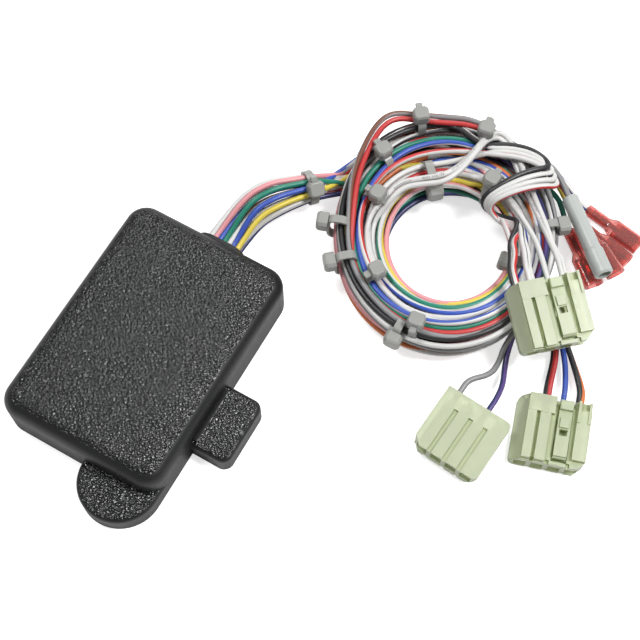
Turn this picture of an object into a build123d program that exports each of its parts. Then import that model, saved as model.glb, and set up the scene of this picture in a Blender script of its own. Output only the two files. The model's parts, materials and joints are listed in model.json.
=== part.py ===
from build123d import *
import os
from math import cos, pi, radians, sin, tan

os.makedirs("parts", exist_ok=True)

# Frame: millimetres, +Z up, origin at the centre of the controller's flat base.
# +Y runs along the long side of the controller towards the wire exit, +X to the right.

# ---- controller case ----
CASE_W = 57.0
CASE_L = 81.0
CASE_H = 17.0
CASE_CORNER = 7.0
CASE_TOP_R = 5.0
WALL = 2.0
PLATE_T = 2.0
PLATE_GAP = 0.2
SIDE_BOSS_REACH = 12.8
SIDE_BOSS_L = 22.5
SIDE_BOSS_Y = -9.5
SIDE_BOSS_H = 8.2
SIDE_BOSS_CORNER = 3.2
LOBE_R = 13.0
LOBE_H = 7.6
BOSS_ROOT = 4.0
BOSS_TOP_R = 1.5
COVE_R = 2.4
COVE_ROOT = 0.6
COVE_END_GAP = 0.4
CEILING_STEP_H = 3.0
CEILING_STEP_W = 1.5
POST_D = 6.5
POST_INSET_X = 8.0
POST_INSET_Y = 8.5
SCREW_D = 2.9
SCREW_L = 9.0
SCREW_HEAD_D = 5.6
SCREW_HEAD_T = 1.5
SCREW_FIT = 0.15
SCREW_RECESS = 0.15
CROSS_SLOT_L = 3.2
CROSS_SLOT_W = 0.8
CROSS_SLOT_T = 1.4

# ---- wire exit ----
EXIT_X = 2.0
EXIT_Z = 7.2
EXIT_SLOT_W = 12.4
EXIT_SLOT_H = 6.4
GROMMET_LIP = 1.6
GROMMET_LIP_T = 1.4
GROMMET_WALL = 1.0
GROMMET_BARB = 0.6
GROMMET_BARB_T = 0.8
GROMMET_EDGE_R = 0.5
FIT = 0.2

# ---- circuit board ----
BOARD_SIDE_GAP = 0.4
BOARD_L = 62.0
BOARD_T = 1.6
BOARD_Y = -4.0
BOARD_CORNER = 1.5
STANDOFF_H = 3.0
STANDOFF_D = 5.0
STANDOFF_EDGE = 3.2
STANDOFF_Y = 27.0
BOARD_SCREW_D = 2.2
BOARD_SCREW_L = 4.6
BOARD_SCREW_HEAD_D = 4.2
BOARD_SCREW_HEAD_T = 1.3
SEAT = 0.02
CHIP_EDGE = 0.3
RELAY_H = 5.6
CEILING_GAP = 0.4

# ---- wires ----
WIRE_D = 1.84
BUNDLE_D = 9.4
LEAD_A_D = 4.4
LEAD_B_D = 3.2
LEAD_C_D = 4.4

# ---- coil ----
COIL_X = 60.0
COIL_Y = 83.0
COIL_MAJOR = 46.5
COIL_MINOR = 39.0
COIL_TURN = 120.0
HOLE_X = 65.8
HOLE_Y = 77.0
HOLE_R = 19.8
COIL_H = 15.0
COIL_EDGE_R = 6.0

# ---- cable ties ----
STRAP_W = 3.6
STRAP_T = 1.1
STRAP_GAP = 0.25
HEAD_W = 5.4
HEAD_L = 5.0
HEAD_T = 4.0
TAIL_SLOT_T = 1.3
TAIL_SLOT_W = STRAP_W - 0.8
HEAD_SINK = 0.4
HEAD_SLOT_RISE = 0.3
IN_HEAD_LEVEL = 0.62
LEAD_TIE_BACK = 3.4
COIL_Z = STRAP_T + STRAP_GAP
COIL_TOP = COIL_Z + COIL_H

# ---- four-way connectors ----
CONN_W = 22.6
CONN_L = 21.4
CONN_BLOCK_H = 7.0
CONN_H = 8.5
CONN_PITCH = 5.2
CAVITY_W = 3.7
CAVITY_H = 3.8
CAVITY_Z = 1.0
CAVITY_DEPTH = 16.0
WIRE_HOLE_D = 2.3
LATCH_X = -3.35
LATCH_W = 4.1
LATCH_SIDE_GAP = 0.35
LATCH_T = 1.3
CHANNEL_Z = 5.6
PIVOT_D = 1.4
PIVOT_FROM_FRONT = 2.6
PIVOT_Z = CONN_H - 1.3
PIVOT_GAP = 0.2
PAD_L = 3.2
SHOULDER_W = 3.1
SHOULDER_DROP = 4.4
PAD_H = 1.0
LATCH_REST_GAP = 0.4
FRONT_CHAMFER = 2.6
SIDE_R = 1.8
RIB_H = CONN_H - CONN_BLOCK_H
RIB_ROOT = 0.2
FLAT_GROOVE_W = 1.5
FLAT_GROOVE_T = 0.7
REAR_STRIP_L = 5.6
CONTACT_BOX_L = 8.0
CONTACT_BOX_WALL = 0.2
CONTACT_CRIMP_L = 6.0

# ---- crimp terminals ----
TAB_SLEEVE_L = 21.0
TAB_SLEEVE_W = 6.6
TAB_SLEEVE_H = 3.9
TAB_BARREL_L = 8.0
TAB_NECK_L = 2.5
TAB_SLEEVE_WALL = 0.55
BULLET_L = 29.3
BULLET_D = 5.4
BULLET_BELL_D = 6.2
BULLET_BELL_L = 9.5
BULLET_BORE_D = 4.4
BULLET_BORE_L = 18.0
BULLET_SOCKET_D = 3.6
BULLET_SOCKET_L = 9.0
BULLET_SOCKET_INSET = 2.5
BULLET_EDGE = 0.5
STACK_GAP = 0.3


board_w = 2 * (CASE_W / 2 - POST_INSET_X - POST_D / 2 - BOARD_SIDE_GAP)
standoff_x = board_w / 2 - STANDOFF_EDGE


def ship(piece, label):
    """Name a finished piece and write it to its own file."""
    piece.label = label
    export_step(piece, f"parts/{label}.step")


def outline(inset):
    """Sketch the foot print of the case with both bosses, drawn in by inset."""
    with BuildSketch() as plan:
        RectangleRounded(CASE_W - 2 * inset, CASE_L - 2 * inset, CASE_CORNER - inset)
        with Locations((CASE_W / 2 - LOBE_R, -CASE_L / 2)):
            Circle(LOBE_R - inset)
        with Locations((CASE_W / 2 - LOBE_R, -CASE_L / 2 + LOBE_R / 2)):
            Rectangle(2 * (LOBE_R - inset), LOBE_R)
        with Locations((CASE_W / 2 + (SIDE_BOSS_REACH - inset) / 2 - SIDE_BOSS_CORNER, SIDE_BOSS_Y)):
            RectangleRounded(
                SIDE_BOSS_REACH - inset + 2 * SIDE_BOSS_CORNER,
                SIDE_BOSS_L - 2 * inset,
                SIDE_BOSS_CORNER - 0.9 * inset,
            )
    return plan.sketch


def post_places():
    """Centres of the four screw posts."""
    x = CASE_W / 2 - POST_INSET_X
    y = CASE_L / 2 - POST_INSET_Y
    return [(-x, -y), (x, -y), (-x, y), (x, y)]


def board_places():
    """Centres of the two board screws."""
    return [(-standoff_x, BOARD_Y - STANDOFF_Y), (standoff_x, BOARD_Y + STANDOFF_Y)]


# ---- bosses of the top shell ----
with BuildPart() as side_boss:
    with Locations((CASE_W / 2 + SIDE_BOSS_REACH / 2 - BOSS_ROOT, SIDE_BOSS_Y, 0)):
        Box(
            SIDE_BOSS_REACH + 2 * BOSS_ROOT,
            SIDE_BOSS_L,
            SIDE_BOSS_H,
            align=(Align.CENTER, Align.CENTER, Align.MIN),
        )
    boss_corners = side_boss.edges().filter_by(Axis.Z).sort_by(Axis.X)[-2:]
    fillet(boss_corners, SIDE_BOSS_CORNER)
    fillet(side_boss.edges().group_by(Axis.Z)[-1], BOSS_TOP_R)

with BuildPart() as front_lobe:
    with BuildSketch():
        with Locations((CASE_W / 2 - LOBE_R, -CASE_L / 2)):
            Circle(LOBE_R)
        with Locations((CASE_W / 2 - LOBE_R, -CASE_L / 2 + LOBE_R / 2)):
            Rectangle(2 * LOBE_R, LOBE_R)
    extrude(amount=LOBE_H)
    fillet(front_lobe.edges().group_by(Axis.Z)[-1], BOSS_TOP_R)

# ---- top shell ----
inner_h = CASE_H - WALL
cove_in = CASE_W / 2 - COVE_ROOT
cove_out = CASE_W / 2 + COVE_R
cove_low = SIDE_BOSS_H - COVE_ROOT
cove_high = SIDE_BOSS_H + COVE_R
cove_half_l = SIDE_BOSS_L / 2 - BOSS_TOP_R - COVE_END_GAP
with BuildPart() as top_shell:
    with BuildSketch():
        RectangleRounded(CASE_W, CASE_L, CASE_CORNER)
    extrude(amount=CASE_H)
    fillet(top_shell.edges().group_by(Axis.Z)[-1], CASE_TOP_R)
    add(side_boss.part)
    add(front_lobe.part)
    with BuildSketch(Plane.XZ.offset(-(SIDE_BOSS_Y + cove_half_l))):
        with BuildLine():
            Line((cove_in, cove_high), (cove_in, cove_low))
            Line((cove_in, cove_low), (cove_out, cove_low))
            Line((cove_out, cove_low), (cove_out, SIDE_BOSS_H))
            RadiusArc((cove_out, SIDE_BOSS_H), (CASE_W / 2, cove_high), COVE_R)
            Line((CASE_W / 2, cove_high), (cove_in, cove_high))
        make_face()
    extrude(amount=2 * cove_half_l)
    with BuildSketch():
        add(outline(WALL))
    extrude(amount=min(LOBE_H, SIDE_BOSS_H) - WALL, mode=Mode.SUBTRACT)
    with BuildSketch():
        RectangleRounded(CASE_W - 2 * WALL, CASE_L - 2 * WALL, CASE_CORNER - WALL)
    extrude(amount=inner_h - CEILING_STEP_H, mode=Mode.SUBTRACT)
    with BuildSketch(Plane.XY.offset(inner_h - CEILING_STEP_H)):
        ceiling_in = 2 * (WALL + CEILING_STEP_W)
        RectangleRounded(CASE_W - ceiling_in, CASE_L - ceiling_in, CASE_CORNER - WALL)
    extrude(amount=CEILING_STEP_H, mode=Mode.SUBTRACT)
    with Locations([(x, y, PLATE_T) for x, y in post_places()]):
        Cylinder(
            POST_D / 2,
            inner_h - PLATE_T + WALL / 4,
            align=(Align.CENTER, Align.CENTER, Align.MIN),
        )
        Cylinder(
            SCREW_D / 2,
            SCREW_L,
            align=(Align.CENTER, Align.CENTER, Align.MIN),
            mode=Mode.SUBTRACT,
        )
    with Locations((EXIT_X, CASE_L / 2, EXIT_Z)):
        Box(
            EXIT_SLOT_W + 2 * GROMMET_WALL - EXIT_SLOT_H,
            4 * WALL,
            EXIT_SLOT_H + 2 * GROMMET_WALL,
            mode=Mode.SUBTRACT,
        )
        with Locations(
            ((EXIT_SLOT_W - EXIT_SLOT_H) / 2, 0, 0),
            (-(EXIT_SLOT_W - EXIT_SLOT_H) / 2, 0, 0),
        ):
            Cylinder(
                EXIT_SLOT_H / 2 + GROMMET_WALL,
                4 * WALL,
                rotation=(90, 0, 0),
                mode=Mode.SUBTRACT,
            )
    with BuildSketch(Plane.XZ.offset(-(CASE_L / 2 - WALL))):
        with Locations((EXIT_X, EXIT_Z)):
            barb_out = 2 * (GROMMET_WALL + GROMMET_BARB + FIT)
            SlotOverall(EXIT_SLOT_W + barb_out, EXIT_SLOT_H + barb_out)
    extrude(amount=GROMMET_BARB_T + FIT, mode=Mode.SUBTRACT)
ship(top_shell.part, "top_shell")

# ---- base plate ----
with BuildPart() as base_plate:
    with BuildSketch():
        add(outline(WALL + PLATE_GAP))
    extrude(amount=PLATE_T - SEAT)
    with Locations([(x, y, PLATE_T - SEAT) for x, y in board_places()]):
        Cylinder(
            STANDOFF_D / 2,
            STANDOFF_H,
            align=(Align.CENTER, Align.CENTER, Align.MIN),
        )
        Cylinder(
            BOARD_SCREW_D / 2,
            STANDOFF_H,
            align=(Align.CENTER, Align.CENTER, Align.MIN),
            mode=Mode.SUBTRACT,
        )
    with Locations([(x, y, 0) for x, y in post_places()]):
        Cylinder(SCREW_D / 2 + SCREW_FIT, 4 * PLATE_T, mode=Mode.SUBTRACT)
        Cylinder(
            SCREW_HEAD_D / 2 + SCREW_FIT,
            2 * (SCREW_HEAD_T + SCREW_RECESS),
            mode=Mode.SUBTRACT,
        )
ship(base_plate.part, "base_plate")

# ---- base screws ----
with BuildPart() as base_screws:
    with Locations([(x, y, SCREW_RECESS) for x, y in post_places()]):
        Cylinder(
            SCREW_HEAD_D / 2,
            SCREW_HEAD_T,
            align=(Align.CENTER, Align.CENTER, Align.MIN),
        )
        Cylinder(
            SCREW_D / 2 - SEAT,
            SCREW_L,
            align=(Align.CENTER, Align.CENTER, Align.MIN),
        )
        Box(CROSS_SLOT_L, CROSS_SLOT_W, CROSS_SLOT_T, mode=Mode.SUBTRACT)
        Box(CROSS_SLOT_W, CROSS_SLOT_L, CROSS_SLOT_T, mode=Mode.SUBTRACT)
ship(base_screws.part, "base_screws")

# ---- wire grommet ----
wall_y = CASE_L / 2
with BuildPart() as wire_grommet:
    with BuildSketch(Plane.XZ.offset(-(wall_y + GROMMET_LIP_T))):
        with Locations((EXIT_X, EXIT_Z)):
            SlotOverall(
                EXIT_SLOT_W + 2 * (GROMMET_WALL + GROMMET_LIP),
                EXIT_SLOT_H + 2 * (GROMMET_WALL + GROMMET_LIP),
            )
    extrude(amount=GROMMET_LIP_T - SEAT)
    fillet(wire_grommet.edges().group_by(Axis.Y)[-1], GROMMET_EDGE_R)
    with BuildSketch(Plane.XZ.offset(-(wall_y + GROMMET_LIP_T / 2))):
        with Locations((EXIT_X, EXIT_Z)):
            SlotOverall(
                EXIT_SLOT_W + 2 * (GROMMET_WALL - SEAT),
                EXIT_SLOT_H + 2 * (GROMMET_WALL - SEAT),
            )
    extrude(amount=WALL + GROMMET_LIP_T / 2 + GROMMET_BARB_T)
    with BuildSketch(Plane.XZ.offset(-(wall_y - WALL - SEAT))):
        with Locations((EXIT_X, EXIT_Z)):
            SlotOverall(
                EXIT_SLOT_W + 2 * (GROMMET_WALL + GROMMET_BARB),
                EXIT_SLOT_H + 2 * (GROMMET_WALL + GROMMET_BARB),
            )
    extrude(amount=GROMMET_BARB_T)
    with BuildSketch(Plane.XZ.offset(-(wall_y + 2 * GROMMET_LIP_T))):
        with Locations((EXIT_X, EXIT_Z)):
            SlotOverall(EXIT_SLOT_W, EXIT_SLOT_H)
    extrude(amount=4 * WALL, mode=Mode.SUBTRACT)
ship(wire_grommet.part, "wire_grommet")

# ---- circuit board and what is on it ----
board_z = PLATE_T + STANDOFF_H
board_top = board_z + BOARD_T
with BuildPart() as circuit_board:
    with BuildSketch(Plane.XY.offset(board_z)):
        with Locations((0, BOARD_Y)):
            RectangleRounded(board_w, BOARD_L, BOARD_CORNER)
        with Locations(board_places()):
            Circle(BOARD_SCREW_D / 2 + SCREW_FIT, mode=Mode.SUBTRACT)
    extrude(amount=BOARD_T)
ship(circuit_board.part, "circuit_board")

with BuildPart() as board_screws:
    with Locations([(x, y, board_top + SEAT) for x, y in board_places()]):
        Cylinder(
            BOARD_SCREW_HEAD_D / 2,
            BOARD_SCREW_HEAD_T,
            align=(Align.CENTER, Align.CENTER, Align.MIN),
        )
        Cylinder(
            BOARD_SCREW_D / 2 - SEAT,
            BOARD_SCREW_L,
            align=(Align.CENTER, Align.CENTER, Align.MAX),
        )
ship(board_screws.part, "board_screws")

component_z = board_top + SEAT
with BuildPart() as microcontroller:
    with Locations((-4, BOARD_Y - 6, component_z)):
        Box(10, 10, 1.6, align=(Align.CENTER, Align.CENTER, Align.MIN))
    chamfer(microcontroller.edges().group_by(Axis.Z)[-1], CHIP_EDGE)
ship(microcontroller.part, "microcontroller")

with BuildPart() as inertia_sensor:
    with Locations((-9, BOARD_Y + 8, component_z)):
        Box(6, 6, 2.0, align=(Align.CENTER, Align.CENTER, Align.MIN))
    chamfer(inertia_sensor.edges().group_by(Axis.Z)[-1], CHIP_EDGE)
ship(inertia_sensor.part, "inertia_sensor")

with BuildPart() as power_transistors:
    with Locations((-11, BOARD_Y - 20, component_z), (0, BOARD_Y - 20, component_z)):
        Box(6.6, 9.4, 2.3, align=(Align.CENTER, Align.CENTER, Align.MIN))
    chamfer(power_transistors.edges().group_by(Axis.Z)[-1], CHIP_EDGE)
ship(power_transistors.part, "power_transistors")

relay_h = min(RELAY_H, inner_h - component_z - CEILING_GAP)
with BuildPart() as switching_relay:
    with Locations((10, BOARD_Y - 16, component_z)):
        Box(10, 15, relay_h, align=(Align.CENTER, Align.CENTER, Align.MIN))
    fillet(switching_relay.edges().group_by(Axis.Z)[-1], 0.6)
ship(switching_relay.part, "switching_relay")

with BuildPart() as capacitors:
    with Locations((8, BOARD_Y + 2, component_z), (8, BOARD_Y + 11, component_z)):
        Cylinder(3.15, 5.4, align=(Align.CENTER, Align.CENTER, Align.MIN))
    fillet(capacitors.edges().group_by(Axis.Z)[-1], 0.4)
ship(capacitors.part, "capacitors")

with BuildPart() as clamp_diode:
    with Locations((-12, BOARD_Y + 17, component_z)):
        Box(4.4, 7.0, 2.3, align=(Align.CENTER, Align.CENTER, Align.MIN))
    chamfer(clamp_diode.edges().group_by(Axis.Z)[-1], 0.4)
ship(clamp_diode.part, "clamp_diode")

lead_end_y = wall_y + GROMMET_LIP_T - SEAT
with BuildPart() as inner_leads:
    with BuildSketch(Plane.XZ.offset(-lead_end_y)):
        with Locations((EXIT_X, EXIT_Z)):
            SlotOverall(EXIT_SLOT_W - 2 * FIT, EXIT_SLOT_H - 2 * FIT)
    extrude(amount=WALL + GROMMET_LIP_T + 1.6)
    lead_back_y = BOARD_Y + BOARD_L / 2 - 3.0
    lead_low = component_z
    lead_high = EXIT_Z + EXIT_SLOT_H / 2 - FIT
    with Locations((EXIT_X, lead_back_y, lead_low)):
        Box(
            EXIT_SLOT_W - EXIT_SLOT_H,
            lead_end_y - WALL - GROMMET_LIP_T - lead_back_y,
            lead_high - lead_low,
            align=(Align.CENTER, Align.MIN, Align.MIN),
        )
ship(inner_leads.part, "inner_leads")


def coil_body(grow):
    """The outer shape of the wound harness, larger all round by grow."""
    with BuildPart() as ring:
        with BuildSketch(Plane.XY.offset(COIL_Z - grow)):
            with Locations(Location((COIL_X, COIL_Y), COIL_TURN)):
                Ellipse(COIL_MAJOR + grow, COIL_MINOR + grow)
            with Locations((HOLE_X, HOLE_Y)):
                Circle(HOLE_R - grow, mode=Mode.SUBTRACT)
        extrude(amount=COIL_H + 2 * grow)
        rims = ring.edges().group_by(Axis.Z)
        fillet(rims[0] + rims[-1], COIL_EDGE_R + grow)
    return ring.part


def tube(points, diameter, label):
    """One cord's solid: straight runs joined by the largest tangent arcs."""
    places = [Vector(*point) for point in points]
    runs = [(b - a).length for a, b in zip(places, places[1:])]
    radii = []
    for i in range(1, len(places) - 1):
        turn = (places[i] - places[i - 1]).get_angle(places[i + 1] - places[i])
        radii.append(0.45 * min(runs[i - 1], runs[i]) / tan(radians(turn / 2)))
    with BuildPart() as cord:
        with BuildLine() as route:
            FilletPolyline(*places, radius=radii)
        with BuildSketch(Plane(origin=route.line @ 0, z_dir=route.line % 0)):
            Circle(diameter / 2)
        sweep()
    length = sum(edge.length for edge in route.line.edges())
    share = cord.part.volume / (length * pi * diameter**2 / 4)
    shown = [round(radius, 1) for radius in radii]
    print(f"{label}: length {length:.1f}, radii {shown}, volume share {share:.4f}")
    ship(cord.part, label)
    return cord.part


wire_coil = coil_body(0)
ship(wire_coil, "wire_coil")

# ---- harness cords ----
LEAD_OUT = [
    (EXIT_X, lead_end_y + SEAT, EXIT_Z),
    (EXIT_X, 49.4, EXIT_Z),
    (3.9, 57.2, 9.6),
    (7.6, 63.6, 10.6),
    (12.0, 69.2, 9.8),
    (17.6, 75.8, 8.85),
]
tube(LEAD_OUT, BUNDLE_D, "wire_bundle")

# ---- cable ties on the coil ----
TIES = {
    "tie_01": (199.0, 33.0, False),
    "tie_02": (221.0, 33.5, False),
    "tie_03": (238.0, 25.0, False),
    "tie_04": (275.0, 34.0, False),
    "tie_05": (175.0, 25.5, False),
    "tie_06": (152.0, 40.0, False),
    "tie_07": (129.0, 42.0, False),
    "tie_08": (101.0, 40.0, False),
    "tie_09": (84.0, 25.5, False),
    "tie_10": (36.0, 33.0, False),
    "tie_11": (9.0, 0.0, True),
}
strap_outer = coil_body(STRAP_GAP + STRAP_T)
strap_inner = coil_body(STRAP_GAP)
strap_top = COIL_Z + COIL_H + STRAP_GAP + STRAP_T
inner_x = HOLE_R - STRAP_GAP - STRAP_T
in_head_z = COIL_Z + COIL_H * IN_HEAD_LEVEL
cut_l = 2 * COIL_MAJOR
for name, (angle, head_r, inside) in TIES.items():
    spot = Plane(
        origin=(HOLE_X, HOLE_Y, 0),
        x_dir=(cos(radians(angle)), sin(radians(angle)), 0),
        z_dir=(0, 0, 1),
    )
    with BuildPart() as tie:
        add(strap_outer)
        add(strap_inner, mode=Mode.SUBTRACT)
        with Locations(spot):
            with Locations((cut_l / 2, 0, 0)):
                Box(cut_l, STRAP_W, cut_l, mode=Mode.INTERSECT)
            if inside:
                with Locations((inner_x - HEAD_T / 2 + HEAD_SINK, 0, in_head_z)):
                    Box(HEAD_T, HEAD_W, HEAD_L)
                with Locations((inner_x - HEAD_T / 2 - HEAD_SLOT_RISE, 0, in_head_z)):
                    Box(TAIL_SLOT_T, TAIL_SLOT_W, 2 * HEAD_L, mode=Mode.SUBTRACT)
            else:
                with Locations((head_r, 0, strap_top + HEAD_T / 2 - HEAD_SINK)):
                    Box(HEAD_L, HEAD_W, HEAD_T)
                with Locations((head_r, 0, strap_top + HEAD_T / 2 + HEAD_SLOT_RISE)):
                    Box(2 * HEAD_L, TAIL_SLOT_W, TAIL_SLOT_T, mode=Mode.SUBTRACT)
    ship(tie.part, name)

hoop_r = BUNDLE_D / 2 + STRAP_GAP + STRAP_T
with BuildPart() as tie_12:
    last = Vector(*LEAD_OUT[-1])
    before = Vector(*LEAD_OUT[-2])
    along = (last - before).normalized()
    hoop = Plane(origin=last - along * LEAD_TIE_BACK, z_dir=along, x_dir=(0, 0, 1))
    with BuildSketch(hoop):
        Circle(hoop_r)
        Circle(BUNDLE_D / 2 + STRAP_GAP, mode=Mode.SUBTRACT)
    extrude(amount=STRAP_W / 2, both=True)
    with Locations(hoop):
        with Locations((hoop_r + HEAD_T / 2 - HEAD_SINK, 0, 0)):
            Box(HEAD_T, HEAD_L, HEAD_W)
        with Locations((hoop_r + HEAD_T / 2 + HEAD_SLOT_RISE, 0, 0)):
            Box(TAIL_SLOT_T, 2 * HEAD_L, TAIL_SLOT_W, mode=Mode.SUBTRACT)
ship(tie_12.part, "tie_12")


# ---- four-way connector, drawn once: +Y is the mating side, +Z the latch side ----
half_w = CONN_W / 2
half_l = CONN_L / 2
cavity_xs = [CONN_PITCH * (i - 1.5) for i in range(4)]
channel_w = LATCH_W + 2 * LATCH_SIDE_GAP
pivot_y = half_l - PIVOT_FROM_FRONT
pad_back_y = -half_l + 0.8
RIBS = [(8.1, 5.4), (4.2, 1.0), (-7.0, -half_w)]
with BuildPart() as housing_form:
    Box(CONN_W, CONN_L, CONN_BLOCK_H, align=(Align.CENTER, Align.CENTER, Align.MIN))
    corner_edges = housing_form.edges().filter_by(Axis.Z)
    front_left = corner_edges.sort_by(Axis.Y)[-2:].sort_by(Axis.X)[0]
    chamfer(front_left, FRONT_CHAMFER)
    front_right = housing_form.edges().filter_by(Axis.Z).sort_by(Axis.X)[-2:]
    fillet(front_right, SIDE_R)
    with BuildSketch(Plane.XZ.offset(-CONN_L)):
        with BuildLine():
            Polyline(
                (half_w - SHOULDER_W, CONN_BLOCK_H),
                (half_w - SHOULDER_W, CONN_H),
                (CONN_W, CONN_H),
                (CONN_W, CONN_BLOCK_H - SHOULDER_DROP),
                (half_w, CONN_BLOCK_H - SHOULDER_DROP),
                close=True,
            )
        make_face()
    extrude(amount=2 * CONN_L, mode=Mode.SUBTRACT)
    for right, left in RIBS:
        with Locations(((right + left) / 2, RIB_ROOT, CONN_BLOCK_H - RIB_ROOT)):
            Box(
                abs(right - left),
                CONN_L - (5.2 if left == -half_w else 1.2),
                RIB_H + RIB_ROOT,
                align=(Align.CENTER, Align.CENTER, Align.MIN),
            )
    with Locations((4.0, -half_l, CONN_BLOCK_H - RIB_ROOT)):
        Box(
            8.2,
            REAR_STRIP_L,
            RIB_H + 1.5 * RIB_ROOT,
            align=(Align.CENTER, Align.MIN, Align.MIN),
        )
    guide_z = CONN_BLOCK_H - RIB_ROOT
    with Locations((-7.4, -half_l, guide_z), (-half_w + 0.6, -half_l, guide_z)):
        Box(
            0.8,
            7.0,
            RIB_H + 3 * RIB_ROOT,
            align=(Align.CENTER, Align.MIN, Align.MIN),
        )
    with Locations((LATCH_X, 0, CHANNEL_Z)):
        Box(
            channel_w,
            CONN_L - 2.0,
            CONN_H,
            align=(Align.CENTER, Align.CENTER, Align.MIN),
            mode=Mode.SUBTRACT,
        )
    with Locations((LATCH_X + 0.1, -half_l, CHANNEL_Z - 0.6)):
        Box(
            channel_w + 1.2,
            2.2,
            CONN_H,
            align=(Align.CENTER, Align.MIN, Align.MIN),
            mode=Mode.SUBTRACT,
        )
    with Locations((LATCH_X, pivot_y, CHANNEL_Z - 0.1)):
        Box(
            channel_w,
            1.6,
            PIVOT_Z - PIVOT_D / 2 - PIVOT_GAP - CHANNEL_Z + 0.1,
            align=(Align.CENTER, Align.CENTER, Align.MIN),
        )
    with Locations([(x, half_l, CAVITY_Z) for x in cavity_xs]):
        Box(
            CAVITY_W,
            2 * CAVITY_DEPTH,
            CAVITY_H,
            align=(Align.CENTER, Align.CENTER, Align.MIN),
            mode=Mode.SUBTRACT,
        )
    with Locations([(x, 0, CAVITY_Z + CAVITY_H / 2) for x in cavity_xs]):
        Cylinder(WIRE_HOLE_D / 2, 2 * CONN_L, rotation=(90, 0, 0), mode=Mode.SUBTRACT)
    with Locations([(x, half_l, CONN_BLOCK_H) for x in (4.8, 0.1, -6.2)]):
        Box(1.2, 2.4, 1.6, mode=Mode.SUBTRACT)
    groove_l = CONN_L - REAR_STRIP_L
    with Locations([(x, half_l, 0) for x in (-CONN_PITCH, 0, CONN_PITCH)]):
        Box(FLAT_GROOVE_W, 2 * groove_l, 2 * FLAT_GROOVE_T, mode=Mode.SUBTRACT)

with BuildPart() as latch_form:
    lever_l = pivot_y - pad_back_y
    with Locations((LATCH_X, pad_back_y, CONN_H - LATCH_T)):
        Box(LATCH_W, lever_l, LATCH_T, align=(Align.CENTER, Align.MIN, Align.MIN))
    with Locations((LATCH_X, pad_back_y, CONN_H - LATCH_T)):
        Box(LATCH_W, PAD_L, LATCH_T + PAD_H, align=(Align.CENTER, Align.MIN, Align.MIN))
    with Locations((LATCH_X, pad_back_y + 7.4, CONN_H - 0.2)):
        Box(2.7, 3.0, 0.8, align=(Align.CENTER, Align.CENTER, Align.MIN))
    with Locations((LATCH_X, pad_back_y + 10.4, CONN_H)):
        Box(2.5, 2.0, 4.0, mode=Mode.SUBTRACT)
    with Locations((LATCH_X, pivot_y, PIVOT_Z)):
        Cylinder(PIVOT_D / 2, LATCH_W, rotation=(0, 90, 0))
    pad_rim = latch_form.edges().group_by(Axis.Z)[-1]
    fillet(pad_rim, 0.4)


def contact_form(count_xs):
    """Crimped box contacts in the named cavities of one housing."""
    with BuildPart() as contacts:
        with Locations([(x, half_l - 1.2, CAVITY_Z + CAVITY_H / 2) for x in count_xs]):
            Box(
                CAVITY_W - 2 * FIT,
                CONTACT_BOX_L,
                CAVITY_H - 2 * FIT,
                align=(Align.CENTER, Align.MAX, Align.CENTER),
            )
            Box(
                CAVITY_W - 2 * FIT - 4 * CONTACT_BOX_WALL,
                2 * CONTACT_BOX_L - 2.0,
                CAVITY_H - 2 * FIT - 4 * CONTACT_BOX_WALL,
                align=(Align.CENTER, Align.CENTER, Align.CENTER),
                mode=Mode.SUBTRACT,
            )
        with Locations([(x, half_l - 9.0, CAVITY_Z + CAVITY_H / 2) for x in count_xs]):
            Cylinder(
                WIRE_D / 2 + 0.35,
                CONTACT_CRIMP_L,
                rotation=(90, 0, 0),
                align=(Align.CENTER, Align.CENTER, Align.MIN),
            )
    return contacts.part


def frame_at(x, y, z, heading, dip=0.0, flipped=False):
    """A placing whose +Y points along heading, tipped nose-down by dip degrees."""
    ahead = Vector(cos(radians(heading)), sin(radians(heading)), 0)
    front = ahead * cos(radians(dip)) - Vector(0, 0, 1) * sin(radians(dip))
    right = ahead.cross(Vector(0, 0, 1))
    up = right.cross(front)
    if flipped:
        up = -up
        right = -right
    return Plane(origin=(x, y, z), x_dir=right, z_dir=up)


CONNECTORS = {
    "a": (frame_at(104.4, 67.3, COIL_TOP - 0.55, -48.0, dip=10.0), cavity_xs),
    "b": (frame_at(98.4, 23.0, CONN_H + PAD_H + LATCH_REST_GAP, -95.0, flipped=True), cavity_xs[::2]),
    "c": (frame_at(121.7, 38.0, 0.0, -72.7), cavity_xs),
}
for letter, (place, filled) in CONNECTORS.items():
    with BuildPart() as housing:
        with Locations(place):
            add(housing_form.part)
    ship(housing.part, f"connector_{letter}_housing")
    with BuildPart() as latch:
        with Locations(place):
            add(latch_form.part)
    ship(latch.part, f"connector_{letter}_latch")
    with BuildPart() as contacts:
        with Locations(place):
            add(contact_form(filled))
    ship(contacts.part, f"connector_{letter}_contacts")

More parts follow.
